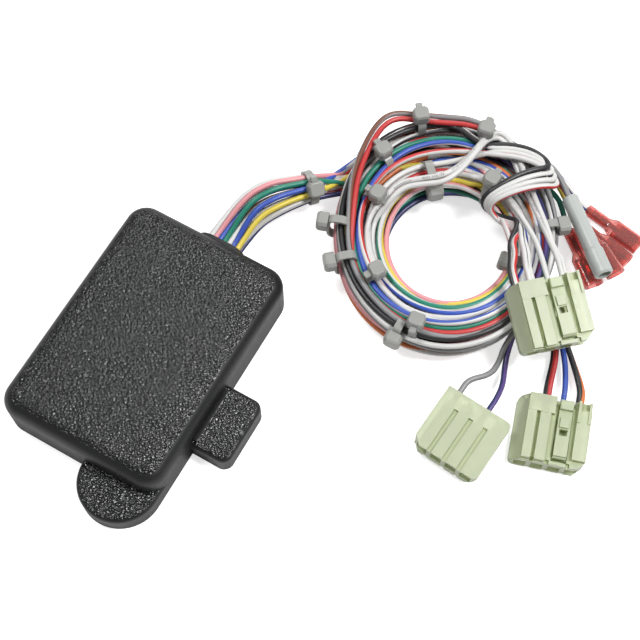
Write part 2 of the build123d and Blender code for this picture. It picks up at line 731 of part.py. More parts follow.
# ---- blade disconnects, drawn once: +Y is the open end ----
tab_half = TAB_SLEEVE_L / 2
barrel_r = TAB_SLEEVE_H / 2
hood_l = TAB_SLEEVE_L - TAB_BARREL_L - TAB_NECK_L
with BuildPart() as tab_sleeve_form:
    with BuildSketch(Plane.XZ.offset(tab_half)):
        Circle(barrel_r)
    extrude(amount=-TAB_BARREL_L)
    with BuildSketch(Plane.XZ.offset(tab_half - TAB_BARREL_L)):
        Circle(barrel_r)
    with BuildSketch(Plane.XZ.offset(tab_half - TAB_BARREL_L - TAB_NECK_L)):
        SlotOverall(TAB_SLEEVE_W, TAB_SLEEVE_H)
    loft()
    with BuildSketch(Plane.XZ.offset(tab_half - TAB_BARREL_L - TAB_NECK_L)):
        SlotOverall(TAB_SLEEVE_W, TAB_SLEEVE_H)
    extrude(amount=-hood_l)
    with BuildSketch(Plane.XZ.offset(-tab_half)):
        SlotOverall(TAB_SLEEVE_W - 2 * TAB_SLEEVE_WALL, TAB_SLEEVE_H - 2 * TAB_SLEEVE_WALL)
    extrude(amount=hood_l - 0.6, mode=Mode.SUBTRACT)
    Cylinder(WIRE_HOLE_D / 2, 2 * TAB_SLEEVE_L, rotation=(90, 0, 0), mode=Mode.SUBTRACT)
    with Locations((0, -tab_half + 2.0, 0)):
        Cylinder(
            barrel_r - TAB_SLEEVE_WALL,
            TAB_BARREL_L - 2.0,
            rotation=(-90, 0, 0),
            align=(Align.CENTER, Align.CENTER, Align.MIN),
            mode=Mode.SUBTRACT,
        )

with BuildPart() as tab_contact_form:
    with Locations((0, tab_half - 1.6, 0)):
        Box(4.9, 6.8, 2.2, align=(Align.CENTER, Align.MAX, Align.CENTER))
    fillet(tab_contact_form.edges().filter_by(Axis.Y), 0.7)
    with Locations((0, tab_half, 0)):
        Box(4.0, 10.0, 0.9, mode=Mode.SUBTRACT)
        with Locations((0, 0, 0.8)):
            Box(1.0, 18.0, 1.6, mode=Mode.SUBTRACT)
    with Locations((0, -tab_half + 2.2, 0)):
        Cylinder(
            WIRE_HOLE_D / 2 - 0.1,
            TAB_SLEEVE_L - 1.6 - 6.8 - 2.2 + 0.4,
            rotation=(-90, 0, 0),
            align=(Align.CENTER, Align.CENTER, Align.MIN),
        )

FLOOR_Z = barrel_r
UPPER_Z = 3 * barrel_r + STACK_GAP
TABS = {
    "1": (98.6, 115.8, FLOOR_Z, -11.4),
    "2": (98.0, 110.0, FLOOR_Z, -16.0),
    "3": (99.3, 107.8, UPPER_Z, -33.0),
    "4": (96.5, 105.4, FLOOR_Z, -41.5),
}
for number, (x, y, z, heading) in TABS.items():
    centre_x = x + tab_half * cos(radians(heading))
    centre_y = y + tab_half * sin(radians(heading))
    place = frame_at(centre_x, centre_y, z, heading)
    with BuildPart() as tab_sleeve:
        with Locations(place):
            add(tab_sleeve_form.part)
    ship(tab_sleeve.part, f"blade_sleeve_{number}")
    with BuildPart() as tab_contact:
        with Locations(place):
            add(tab_contact_form.part)
    ship(tab_contact.part, f"blade_contact_{number}")

# ---- bullet sleeve and its socket ----
bullet_z = UPPER_Z + barrel_r + STACK_GAP + BULLET_BELL_D / 2
BULLET = (92.2, 111.3, bullet_z, -42.4)
bullet_half = BULLET_L / 2
bullet_place = frame_at(
    BULLET[0] + bullet_half * cos(radians(BULLET[3])),
    BULLET[1] + bullet_half * sin(radians(BULLET[3])),
    BULLET[2],
    BULLET[3],
)
with BuildPart() as bullet_sleeve:
    with BuildSketch(bullet_place):
        with BuildLine():
            Polyline(
                (0, -bullet_half),
                (BULLET_D / 2 - BULLET_EDGE, -bullet_half),
                (BULLET_D / 2, -bullet_half + BULLET_EDGE),
                (BULLET_D / 2, bullet_half - BULLET_BELL_L),
                (BULLET_BELL_D / 2, bullet_half - BULLET_BELL_L + 0.8),
                (BULLET_BELL_D / 2, bullet_half - BULLET_EDGE),
                (BULLET_BELL_D / 2 - BULLET_EDGE, bullet_half),
                (0, bullet_half),
                close=True,
            )
        make_face()
    revolve(axis=Axis(bullet_place.origin, bullet_place.y_dir))
    with Locations(bullet_place):
        with Locations((0, bullet_half, 0)):
            Cylinder(
                BULLET_BORE_D / 2,
                BULLET_BORE_L,
                rotation=(-90, 0, 0),
                align=(Align.CENTER, Align.CENTER, Align.MAX),
                mode=Mode.SUBTRACT,
            )
        Cylinder(WIRE_HOLE_D / 2, 2 * BULLET_L, rotation=(90, 0, 0), mode=Mode.SUBTRACT)
ship(bullet_sleeve.part, "bullet_sleeve")

with BuildPart() as bullet_socket:
    with Locations(bullet_place):
        with Locations((0, bullet_half - BULLET_SOCKET_INSET, 0)):
            Cylinder(
                BULLET_BORE_D / 2 - 0.1,
                BULLET_BORE_L - 4.0,
                rotation=(-90, 0, 0),
                align=(Align.CENTER, Align.CENTER, Align.MAX),
            )
            Cylinder(
                BULLET_SOCKET_D / 2,
                BULLET_SOCKET_L,
                rotation=(-90, 0, 0),
                align=(Align.CENTER, Align.CENTER, Align.MAX),
                mode=Mode.SUBTRACT,
            )
ship(bullet_socket.part, "bullet_socket")

# ---- harness tails ----
place_a = CONNECTORS["a"][0]
place_b = CONNECTORS["b"][0]
place_c = CONNECTORS["c"][0]
TAIL_GAP = 0.05
BACK_RUN = 6.0
wire_z = CAVITY_Z + CAVITY_H / 2


def point(vector):
    """A vector as a plain point."""
    return (vector.X, vector.Y, vector.Z)


def entry(place):
    """The last two points of a tail, square to the back of a connector."""
    away = place.from_local_coords(Vector(0, -half_l - TAIL_GAP - BACK_RUN, wire_z))
    back_face = place.from_local_coords(Vector(0, -half_l - TAIL_GAP, wire_z))
    return [point(away), point(back_face)]


a_route = [(88.0, 87.6, COIL_TOP + 2.75), (91.2, 83.2, COIL_TOP + 4.35)]
tube([*a_route, *entry(place_a)], LEAD_A_D, "tail_a")
tube([(97.5, 56.4, 5.2), (99.6, 51.0, 4.0), (100.9, 45.2, 5.2), *entry(place_b)], LEAD_B_D, "tail_b")
tube([(102.6, 75.9, 4.4), (108.4, 70.6, 3.0), (113.2, 63.2, 2.5), *entry(place_c)], LEAD_C_D, "tail_c")
TAB_ROUTES = {
    "1": [(79.9, 121.9, 6.6), (89.2, 119.6, 4.6)],
    "2": [(83.6, 118.6, 7.4), (90.2, 114.6, 5.0)],
    "3": [(86.0, 116.6, 9.6), (92.4, 112.9, 8.4)],
    "4": [(87.2, 114.9, 4.2), (91.9, 110.8, 2.6)],
}
for number, route in TAB_ROUTES.items():
    x, y, z, heading = TABS[number]
    back = (x - TAIL_GAP * cos(radians(heading)), y - TAIL_GAP * sin(radians(heading)), z)
    tube([*route, back], WIRE_D, f"tail_blade_{number}")
x, y, z, heading = BULLET
back = (x - TAIL_GAP * cos(radians(heading)), y - TAIL_GAP * sin(radians(heading)), z)
tube([(80.8, 119.2, 12.4), (86.4, 116.4, 12.3), back], WIRE_D, "tail_bullet")
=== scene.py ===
"""Looks of a brake controller unit: a black case with a coiled harness and its terminals.

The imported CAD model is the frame. The case, the connectors and the terminals keep their CAD shapes
and get procedural materials. The wires and the cable ties are built here, in place of their plain
CAD solids. Lengths are in millimetres unless a docstring says otherwise.
"""

import json
import logging
import math
import random
from dataclasses import dataclass
from enum import Enum
from functools import cache

import bmesh
import bpy
import numpy as np
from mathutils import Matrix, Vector


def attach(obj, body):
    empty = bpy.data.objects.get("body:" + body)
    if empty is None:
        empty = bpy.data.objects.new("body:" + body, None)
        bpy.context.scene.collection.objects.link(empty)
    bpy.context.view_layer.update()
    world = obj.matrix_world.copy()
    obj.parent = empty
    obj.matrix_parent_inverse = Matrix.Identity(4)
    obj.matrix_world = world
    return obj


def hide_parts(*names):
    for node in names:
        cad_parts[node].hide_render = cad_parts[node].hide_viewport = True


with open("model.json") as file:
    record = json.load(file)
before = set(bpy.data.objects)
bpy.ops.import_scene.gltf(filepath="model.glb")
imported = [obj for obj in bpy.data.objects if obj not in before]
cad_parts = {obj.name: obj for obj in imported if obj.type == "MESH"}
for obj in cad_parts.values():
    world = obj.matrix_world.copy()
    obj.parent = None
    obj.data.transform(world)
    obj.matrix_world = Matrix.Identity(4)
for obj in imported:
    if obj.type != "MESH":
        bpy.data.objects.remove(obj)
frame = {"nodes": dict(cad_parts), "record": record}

logging.basicConfig(level=logging.INFO, format="%(message)s")
log = logging.getLogger("scene")

MM = 0.001
SEED = 20
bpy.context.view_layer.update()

Colour = tuple[float, float, float]
Triple = tuple[float, float, float]
Socket = bpy.types.NodeSocket
Material = bpy.types.Material


class Finish(Enum):
    """The record's material slots that pieces made here stand for; only the ties take their slot's
    material.
    """

    WIRE = "wire_jacket"
    TIE = "tie_nylon"


class End(Enum):
    """Where a wire ends."""

    CONNECTOR_A = "a"
    CONNECTOR_B = "b"
    CONNECTOR_C = "c"
    BLADE_1 = "1"
    BLADE_2 = "2"
    BLADE_3 = "3"
    BLADE_4 = "4"
    BULLET = "bullet"


class Way(Enum):
    """How a wire makes its last turn: in the ring, or on a stray route over it."""

    RING = "ring"
    SASH = "sash"
    WRAP = "wrap"
    BULGE = "bulge"


class Head(Enum):
    """Where the head of a cable tie sits."""

    TOP = "top"
    OUTSIDE = "outside"
    INSIDE = "inside"


def new_object(name: str, data: bpy.types.ID) -> bpy.types.Object:
    """An object in the scene for new data."""
    made = bpy.data.objects.new(name, data)
    bpy.context.collection.objects.link(made)
    return made


# ---- shader nodes: groups give colours, masks and normals, never a shader ----


@dataclass
class Sheet:
    """A shader node tree with short ways to add nodes.

    Args:
        tree: the node tree that is filled.
    """

    tree: bpy.types.NodeTree

    def feed(self, socket: Socket, value: object) -> None:
        """Link a socket to an input, or set a plain value in it.

        Args:
            socket: the input.
            value: an output socket, a number, or a colour as three numbers.
        """
        if isinstance(value, Socket):
            self.tree.links.new(value, socket)
        elif isinstance(value, tuple):
            socket.default_value = (*value[:3], 1.0)
        else:
            socket.default_value = value

    def add(self, kind: str, feeds: dict | None = None, **options: object) -> bpy.types.Node:
        """Add a node.

        Args:
            kind: the node's type name.
            feeds: values and sockets for its inputs, by name or number.
            options: the node's own settings.

        Returns:
            The node.
        """
        node = self.tree.nodes.new(kind)
        for name, value in options.items():
            setattr(node, name, value)
        for name, value in (feeds or {}).items():
            self.feed(node.inputs[name], value)
        return node

    def math(self, operation: str, first: object, second: object = 0.5) -> Socket:
        """Add a Math node fed by sockets or numbers, and return its output."""
        return self.add("ShaderNodeMath", {0: first, 1: second}, operation=operation).outputs[0]

    def mix(self, factor: object, first: object, second: object) -> Socket:
        """Add a colour mix from first to second, and return its output."""
        feeds = {0: factor, 6: first, 7: second}
        return self.add("ShaderNodeMix", feeds, data_type="RGBA").outputs[2]

    def noise(self, scale: object, detail: object = 2.0) -> Socket:
        """Add noise in object space, in turns for each metre, and return its value."""
        where = self.add("ShaderNodeTexCoord").outputs["Object"]
        feeds = {"Vector": where, "Scale": scale, "Detail": detail, "Roughness": 0.5}
        return self.add("ShaderNodeTexNoise", feeds).outputs[0]

    def run_noise(self, run: Socket, scale: float) -> Socket:
        """Add noise along one value, and return its value."""
        feeds = {"W": self.math("MULTIPLY", run, scale)}
        return self.add("ShaderNodeTexNoise", feeds, noise_dimensions="1D").outputs[0]

    def call(self, group: bpy.types.NodeTree, *values: object) -> bpy.types.Node:
        """Add a node group with values for its inputs, and return its node."""
        return self.add("ShaderNodeGroup", dict(enumerate(values)), node_tree=group)


def new_group(name: str, outputs: dict[str, str], inputs: dict[str, str]) -> tuple:
    """Start a shader node group.

    Args:
        name: its name.
        outputs: kinds of its output sockets by label.
        inputs: kinds of its input sockets by label.

    Returns:
        The sheet of the group, its input node and its output node.
    """
    group = bpy.data.node_groups.new(name, "ShaderNodeTree")
    for label, kind in outputs.items():
        group.interface.new_socket(label, in_out="OUTPUT", socket_type=f"NodeSocket{kind}")
    for label, kind in inputs.items():
        group.interface.new_socket(label, in_out="INPUT", socket_type=f"NodeSocket{kind}")
    sheet = Sheet(group)
    return sheet, sheet.add("NodeGroupInput"), sheet.add("NodeGroupOutput")


@cache
def drift_group() -> bpy.types.NodeTree:
    """A colour that drifts from one tone to another, cloud by cloud."""
    inputs = {"Scale": "Float", "Detail": "Float", "First": "Color", "Second": "Color"}
    sheet, given, out = new_group("tone_drift", {"Color": "Color"}, inputs)
    cloud = sheet.noise(given.outputs["Scale"], given.outputs["Detail"])
    sheet.feed(out.inputs[0], sheet.mix(cloud, given.outputs["First"], given.outputs["Second"]))
    return sheet.tree


@cache
def relief_group() -> bpy.types.NodeTree:
    """A normal with a fine, uneven relief."""
    labels = ("Scale", "Strength", "Distance")
    inputs = dict.fromkeys(labels, "Float")
    sheet, given, out = new_group("fine_relief", {"Normal": "Vector"}, inputs)
    feeds = {label: given.outputs[label] for label in labels[1:]}
    feeds["Height"] = sheet.noise(given.outputs["Scale"])
    sheet.feed(out.inputs[0], sheet.add("ShaderNodeBump", feeds).outputs[0])
    return sheet.tree


@cache
def marks_group() -> bpy.types.NodeTree:
    """Masks along a wire: a tracer stripe that winds round it, and small printed dashes."""
    sheet, _, out = new_group("wire_marks", {"Tracer": "Float", "Print": "Float"}, {})
    where = sheet.add("ShaderNodeUVMap", uv_map=RUN_MAP)
    split = sheet.add("ShaderNodeSeparateXYZ", {"Vector": where.outputs[0]})
    run, turn = split.outputs[0], split.outputs[1]
    winding = sheet.math("MULTIPLY", run, 0.55)
    roll = sheet.math("FRACT", sheet.math("ADD", turn, winding))
    near = sheet.math("ABSOLUTE", sheet.math("SUBTRACT", roll, 0.5))
    sheet.feed(out.inputs["Tracer"], sheet.math("LESS_THAN", near, 0.13))
    dash = sheet.math("GREATER_THAN", sheet.run_noise(run, 95.0), 0.5)
    word = sheet.math("GREATER_THAN", sheet.run_noise(run, 2.2), 0.47)
    line = sheet.math("LESS_THAN", near, 0.07)
    printed = sheet.math("MULTIPLY", sheet.math("MULTIPLY", dash, word), line)
    sheet.feed(out.inputs["Print"], printed)
    return sheet.tree


@dataclass
class Surface:
    """A new material with a Principled shader.

    Args:
        name: material name.
    """

    name: str

    def __post_init__(self) -> None:
        self.material = bpy.data.materials.new(self.name)
        self.material.use_nodes = True
        self.sheet = Sheet(self.material.node_tree)
        self.shader = self.material.node_tree.nodes["Principled BSDF"]

    def set(self, feeds: dict[str, object]) -> None:
        """Feed named inputs of the shader."""
        for name, value in feeds.items():
            self.sheet.feed(self.shader.inputs[name], value)

    def drift(self, scale: float, detail: float, first: Colour, second: Colour) -> Socket:
        """Colour that drifts between two tones."""
        return self.sheet.call(drift_group(), scale, detail, first, second).outputs[0]

    def relief(self, scale: float, strength: float, distance: float) -> None:
        """Give the surface a fine relief, its distance in metres."""
        relief = self.sheet.call(relief_group(), scale, strength, distance)
        self.set({"Normal": relief.outputs[0]})


def toned(colour: Colour, share: float) -> Colour:
    """The colour darkened to a share of itself."""
    return tuple(share * part for part in colour)


@dataclass(frozen=True)
class Jacket:
    """The extruded insulation of one wire.

    Args:
        base: colour of the insulation.
        tracer: colour of the stripe, or None where there is none.
        printed: whether small dark dashes run along it.
    """

    base: Colour
    tracer: Colour | None = None
    printed: bool = False

    def material(self, name: str) -> Material:
        """Build the material, with its stripe, its print and faint smudges.

        Args:
            name: material name.

        Returns:
            The material.
        """
        surface = Surface(name)
        sheet = surface.sheet
        marks = sheet.call(marks_group())
        dull = tuple(0.86 * part + 0.004 for part in self.base)
        colour = surface.drift(160.0, 3.0, self.base, dull)
        if self.tracer:
            colour = sheet.mix(marks.outputs["Tracer"], colour, self.tracer)
        if self.printed:
            shade = sheet.math("MULTIPLY", marks.outputs["Print"], 0.8)
            colour = sheet.mix(shade, colour, INK)
        surface.set({"Base Color": colour, "Roughness": 0.36, "Specular IOR Level": 0.5})
        surface.relief(700.0, 0.12, 0.0002)
        return surface.material


@dataclass(frozen=True)
class CaseLook:
    """Black moulded plastic: pebbled where it looks up, satin on walls and round edges.

    Args:
        name: material name.
        dark: the darker tone.
        pale: the paler tone.
        pebbles: pebbles for each metre.
        depth: height of the pebbles in metres.
        satin: roughness of the walls.
        polish: how much smoother the pebbled faces are.
    """

    name: str
    dark: Colour
    pale: Colour
    pebbles: float = 1150.0
    depth: float = 0.00036
    satin: float = 0.42
    polish: float = 0.19

    def material(self) -> Material:
        """Build the material."""
        surface = Surface(self.name)
        sheet = surface.sheet
        flat = self.flat_mask(sheet)
        bump = {"Height": self.height(sheet, flat), "Strength": 1.0, "Distance": self.depth}
        rough = sheet.math("ADD", sheet.math("MULTIPLY", flat, -self.polish), self.satin)
        patches = sheet.math("MULTIPLY", sheet.noise(300.0), 0.05)
        feeds = {
            "Base Color": surface.drift(60.0, 4.0, self.dark, self.pale),
            "Roughness": sheet.math("ADD", rough, patches),
            "Normal": sheet.add("ShaderNodeBump", bump).outputs[0],
        }
        surface.set(feeds)
        return surface.material

    def flat_mask(self, sheet: Sheet) -> Socket:
        """Mask that is 1 where the face looks up."""
        shape = sheet.add("ShaderNodeNewGeometry").outputs["True Normal"]
        split = sheet.add("ShaderNodeSeparateXYZ", {"Vector": shape})
        feeds = {"Value": split.outputs[2], "From Min": 0.84, "From Max": 0.93}
        flat = sheet.add("ShaderNodeMapRange", feeds, interpolation_type="SMOOTHSTEP")
        return flat.outputs[0]

    def height(self, sheet: Sheet, flat: Socket) -> Socket:
        """Height of the pebbles on flat faces, and of a faint orange peel all over."""
        where = sheet.add("ShaderNodeTexCoord").outputs["Object"]
        feeds = {"Vector": where, "Scale": self.pebbles, "Smoothness": 0.3}
        cells = sheet.add("ShaderNodeTexVoronoi", feeds, feature="SMOOTH_F1")
        domes = sheet.math("MULTIPLY", cells.outputs["Distance"], -1.0)
        grain = sheet.math("MULTIPLY", sheet.noise(1300.0, 1.0), 0.35)
        pebbled = sheet.math("MULTIPLY", sheet.math("ADD", domes, grain), flat)
        peel = sheet.math("MULTIPLY", sheet.noise(420.0), 0.06)
        return sheet.math("ADD", pebbled, peel)


@dataclass(frozen=True)
class PlasticLook:
    """A moulded, partly see-through plastic, with shade painted into its grooves and hollows.

    Args:
        name: material name.
        pale: colour of open, lit stretches.
        painted_groove_shade: colour of the shade painted down in grooves and hollows.
        clear: share of light that goes through.
        rough: roughness of the surface.
        reach: how far, in metres, the painted shade in grooves reaches.
    """

    name: str
    pale: Colour
    painted_groove_shade: Colour
    clear: float
    rough: float
    reach: float = 0.004

    def material(self) -> Material:
        """Build the material."""
        surface = Surface(self.name)
        # Painted shade: ambient occlusion pulls the colour towards the painted groove shade in
        # grooves and hollows.
        feeds = {"Distance": self.reach}
        shade = surface.sheet.add("ShaderNodeAmbientOcclusion", feeds, samples=8)
        mask = surface.sheet.math("POWER", shade.outputs["AO"], 1.25)
        mask.node.use_clamp = True
        cloud = surface.drift(220.0, 3.0, self.pale, toned(self.pale, 0.9))
        colour = surface.sheet.mix(mask, self.painted_groove_shade, cloud)
        surface.set({"Base Color": colour, "Transmission Weight": self.clear})
        surface.set({"Roughness": self.rough, "IOR": 1.46})
        surface.relief(500.0, 0.15, 0.0003)
        return surface.material


@dataclass(frozen=True)
class OpaqueLook:
    """An opaque plastic, rubber or metal with fine unevenness.

    Args:
        name: material name.
        colour: its colour.
        rough: roughness of the surface.
        metal: 1 for a metal, 0 for the rest.
        clouds: clouds of tone for each metre.
        grain: grains of the relief for each metre.
        strength: strength of the relief.
    """

    name: str
    colour: Colour
    rough: float
    metal: float = 0.0
    clouds: float = 180.0
    grain: float = 900.0
    strength: float = 0.15

    def material(self) -> Material:
        """Build the material."""
        surface = Surface(self.name)
        colour = surface.drift(self.clouds, 3.0, self.colour, toned(self.colour, 0.8))
        surface.set({"Base Color": colour, "Metallic": self.metal, "Roughness": self.rough})
        surface.relief(self.grain, self.strength, 0.0002)
        return surface.material


def metal_look(name: str, colour: Colour, rough: float) -> OpaqueLook:
    """A plain metal with fine scratches."""
    return OpaqueLook(name, colour, rough, 1.0, 400.0, 1500.0, 0.1)


CASE = CaseLook("case_plastic", (0.0055, 0.0058, 0.0062), (0.009, 0.0095, 0.010))
# Plastics: a colour for open, lit stretches, then the colour of the shade painted into grooves and
# hollows.
GREEN_NYLON = PlasticLook(
    "pale_green_nylon", (0.74, 0.80, 0.58), (0.44, 0.53, 0.22), 0.45, 0.32, 0.003
)
RED_NYLON = PlasticLook("red_nylon", (0.92, 0.44, 0.39), (0.66, 0.12, 0.11), 0.85, 0.14)
MILKY_NYLON = PlasticLook("milky_nylon", (0.50, 0.53, 0.51), (0.34, 0.37, 0.35), 0.15, 0.30)
TIE_NYLON = PlasticLook(
    "natural_nylon", (0.40, 0.405, 0.38), (0.25, 0.255, 0.24), 0.25, 0.30, 0.002
)
CHIP = OpaqueLook("moulded_epoxy", (0.02, 0.02, 0.022), 0.5)
LOOKS = {
    "case_black": CASE,
    "screw_steel": metal_look("zinc_plated", (0.60, 0.60, 0.61), 0.35),
    "grommet_rubber": OpaqueLook("matt_rubber", (0.02, 0.02, 0.02), 0.7),
    "board_green": OpaqueLook("solder_mask", (0.02, 0.13, 0.05), 0.35),
    "chip_black": CHIP,
    "relay_plastic": CHIP,
    "capacitor_can": metal_look("drawn_can", (0.75, 0.75, 0.76), 0.3),
    "wire_jacket": OpaqueLook("lead_jackets", (0.55, 0.54, 0.52), 0.45),
    "tie_nylon": TIE_NYLON,
    "connector_nylon": GREEN_NYLON,
    "latch_nylon": GREEN_NYLON,
    "contact_brass": metal_look("brass", (0.80, 0.58, 0.30), 0.3),
    "sleeve_red": RED_NYLON,
    "blade_copper": metal_look("copper", (0.88, 0.52, 0.36), 0.25),
    "sleeve_natural": MILKY_NYLON,
}


# ---- the harness: where its wires run ----

WIRE_D = 1.84
WIRE_SIDES = 10
SPLINE_STEPS = 7
RUN_MAP = "run"
RUN_UNITS = 10
FLOOR_GAP = 0.0002
SAME_PLACE = 1e-5
UP = Vector((0, 0, 1))

# The case's wire exit and the route of the lead to the coil, with the bundle's breadth on it.
EXIT = (2.0, 41.9, 7.2)
EXIT_COLUMN = 1.66
EXIT_ROW = 1.72
EXIT_STRAIGHT = 2.6
LEAD_ROUTE = [(3.9, 57.2, 9.6), (7.6, 63.6, 10.6), (12.0, 69.2, 9.8), (17.6, 75.8, 8.85)]
LEAD_SPREAD = [1.55, 1.55, 1.25, 1.0]

START_ANGLE = 184.0
FIRST_TURNS = 0.045
POINTS_PER_TURN = 14
LAST_LAYER = 3
LAYERS_UPPER = 4
LAYERS_LOWER = 3
WAVE_TURN = 6.28

# How a wire wanders in the coil, in shares of the ring's breadth, of its height and of a turn.
FIRST_INNER, FIRST_BREADTH = 0.62, 0.36
CHANGE_COLUMN = (0.25, 0.95)
CHANGE_ROW = (0.4, 0.9)
CHANGE_COUNT = (0.32, 0.46)
CLIMB = (0.88, 1.0)
RANK_FROM, RANK_TO = -0.35, 0.05
TIGHT_AFTER, TIGHT_ANGLE, TIGHTENING = 0.6, 190, 0.14
WAVE_ACROSS, WAVE_UP, ROW_STEP = 0.035, 0.02, 0.075
EDGE_POWER, EDGE_FALL = 3.2, 0.42

# How far before and into a terminal a wire is led straight, and how its branch wanders.
SLEEVE_BEFORE, SLEEVE_INTO = 2.2, 1.0
OPENING_BEFORE, OPENING_INTO = 2.0, 1.5
BRANCH_JITTER, BRANCH_LIFT, BRANCH_FLATTEN, BRANCH_GAP = 0.4, 0.5, 0.7, 0.1


@dataclass(frozen=True)
class Ring:
    """The wound part of the harness: an ellipse with a round hole off its middle.

    Args:
        centre: middle of the ellipse.
        major: its longer half axis.
        minor: its shorter half axis.
        turn: direction of the longer axis in degrees.
        hole: middle of the hole.
        hole_r: radius of the hole.
        low: height of its underside.
        height: its height.
        dent_angle: direction of the dent in its outline, in degrees.
        dent_spread: breadth of the dent in degrees.
        dent: depth of the dent.
    """

    centre: tuple[float, float] = (60.0, 83.0)
    major: float = 46.5
    minor: float = 39.0
    turn: float = 120.0
    hole: tuple[float, float] = (65.8, 77.0)
    hole_r: float = 19.8
    low: float = 1.35
    height: float = 15.0
    dent_angle: float = 122.0
    dent_spread: float = 34.0
    dent: float = 4.2

    def outer_reach(self, angle: float) -> float:
        """Distance from the hole's middle to the outline.

        Args:
            angle: direction in degrees.

        Returns:
            The distance.
        """
        turn = math.radians(self.turn)
        way = math.radians(angle)
        dx = self.hole[0] - self.centre[0]
        dy = self.hole[1] - self.centre[1]
        px = (dx * math.cos(turn) + dy * math.sin(turn)) / self.major
        py = (-dx * math.sin(turn) + dy * math.cos(turn)) / self.minor
        vx = math.cos(way - turn) / self.major
        vy = math.sin(way - turn) / self.minor
        a = vx * vx + vy * vy
        b = px * vx + py * vy
        c = px * px + py * py - 1
        return (-b + math.sqrt(b * b - a * c)) / a

    def point(self, angle: float, across: float, height: float) -> Vector:
        """A point of the coil.

        Args:
            angle: direction from the hole's middle in degrees.
            across: 0 at the hole and 1 at the outside.
            height: height over the ground.

        Returns:
            The point.
        """
        inner = self.hole_r + WIRE_D / 2
        away = (angle % 360 - self.dent_angle) / self.dent_spread
        outer = self.outer_reach(angle) - WIRE_D / 2 - self.dent * math.exp(-away * away)
        reach = inner + across * (outer - inner)
        way = math.radians(angle)
        x = self.hole[0] + reach * math.cos(way)
        return Vector((x, self.hole[1] + reach * math.sin(way), height))

    def level(self, share: float) -> float:
        """Height of a wire's middle, from 0 at the bottom of the ring to 1 at its top."""
        return self.low + WIRE_D / 2 + share * (self.height - WIRE_D)


RING = Ring()


@dataclass(frozen=True)
class Terminal:
    """The back of what a wire ends in, and the branch that leads there.

    Args:
        leave: turns made by the wire when it leaves the coil.
        branch: points of the branch.
        middle: middle of the terminal's back.
        ahead: the way a wire goes in.
        side: the way across the openings of a connector.
        columns: opening that each wire takes, in pitches from the middle.
        nudges: shift of each wire inside its opening.
        spread: how far the wires are spread across where they leave the coil, from 0 to 1.
    """

    leave: float
    branch: list[Triple]
    middle: Triple
    ahead: Triple
    side: Triple = (0.0, 0.0, 0.0)
    columns: tuple[float, ...] = ()
    nudges: tuple[float, ...] = ()
    spread: float = 0.0


PITCH = 5.2
TERMINALS = {
    End.CONNECTOR_A: Terminal(
        3.36,
        [(88.0, 87.6, 19.1), (91.2, 83.2, 20.7), (93.73, 79.15, 21.56)],
        (97.69, 74.76, 20.51), (0.659, -0.732, -0.174), (-0.743, -0.669, 0.0),
        (1.5, 0.5, -1.5, -0.5, 0.5, 1.5, -1.5, 1.5),
        (-0.5, -0.45, 0.5, 0.0, 0.5, 0.5, -0.5, 0.0),
        0.75,
    ),
    End.CONNECTOR_B: Terminal(
        2.56,
        [(97.5, 56.4, 5.2), (99.6, 51.0, 4.0), (100.9, 45.2, 5.2), (99.86, 39.69, 7.0)],
        (99.33, 33.66, 7.0), (-0.087, -0.996, 0.0), (0.996, -0.087, 0.0),
        (-1.5, 0.5), (0.0, 0.0), 0.12,
    ),
    End.CONNECTOR_C: Terminal(
        2.47,
        [(102.6, 75.9, 4.4), (108.4, 70.6, 3.0), (113.2, 63.2, 2.5), (116.72, 53.99, 2.9)],
        (118.52, 48.22, 2.9), (0.297, -0.955, 0.0), (-0.955, -0.297, 0.0),
        (0.5, 0.5, -0.5, -1.5, -1.5), (-0.45, 0.45, 0.0, -0.45, 0.45), 0.14,
    ),
    End.BLADE_1: Terminal(
        3.27, [(79.9, 121.9, 6.6), (89.2, 119.6, 4.6)], (98.6, 115.8, 1.95), (0.980, -0.198, 0.0)
    ),
    End.BLADE_2: Terminal(
        3.28, [(83.6, 118.6, 7.4), (90.2, 114.6, 5.0)], (98.0, 110.0, 1.95), (0.961, -0.276, 0.0)
    ),
    End.BLADE_3: Terminal(
        3.29, [(86.0, 116.6, 9.6), (92.4, 112.9, 8.4)], (99.3, 107.8, 6.15), (0.839, -0.545, 0.0)
    ),
    End.BLADE_4: Terminal(
        3.30, [(87.2, 114.9, 4.2), (91.9, 110.8, 2.6)], (96.5, 105.4, 1.95), (0.749, -0.663, 0.0)
    ),
    End.BULLET: Terminal(
        3.28, [(80.8, 119.2, 12.4), (86.4, 116.4, 12.3)], (92.2, 111.3, 11.5), (0.738, -0.674, 0.0)
    ),
}

# Stray routes: (angle, share across the ring, height), in the order in which they are run.
STRAYS = {
    Way.RING: [],
    Way.SASH: [
        (176, 0.13, 17.0), (161, 0.11, 18.2), (144, 0.00, 18.9), (126, -0.04, 19.1),
        (113, 0.06, 19.3), (106, 0.22, 19.3), (102, 0.42, 18.9), (99, 0.66, 18.0),
        (92, 0.84, 16.6),
    ],
    Way.WRAP: [
        (96, 0.52, 16.8), (85, 0.70, 17.2), (76, 0.87, 17.1), (69, 0.98, 17.0),
        (63, 1.02, 17.6), (61, 0.94, 18.8), (63, 0.76, 19.8), (66, 0.50, 20.2),
        (69, 0.24, 20.1), (72, 0.04, 19.4), (75, -0.09, 17.8), (75, -0.15, 15.4),
        (70, -0.17, 13.4), (60, -0.14, 12.4), (48, -0.03, 13.8), (38, 0.14, 17.2),
    ],
    Way.BULGE: [
        (186, 0.60, 16.4), (171, 0.69, 16.9), (156, 0.81, 17.2), (146, 0.93, 16.8),
        (139, 0.95, 16.2), (131, 0.86, 15.6), (120, 0.82, 15.0), (106, 0.86, 15.0),
    ],
}
WRAP_STEP = 3.4
STRAY_STEP = WIRE_D * 1.04 / 24
STRAY_JOIN = 0.035
STRAY_LEAVE = 0.05
STRAY_FADE = 0.12


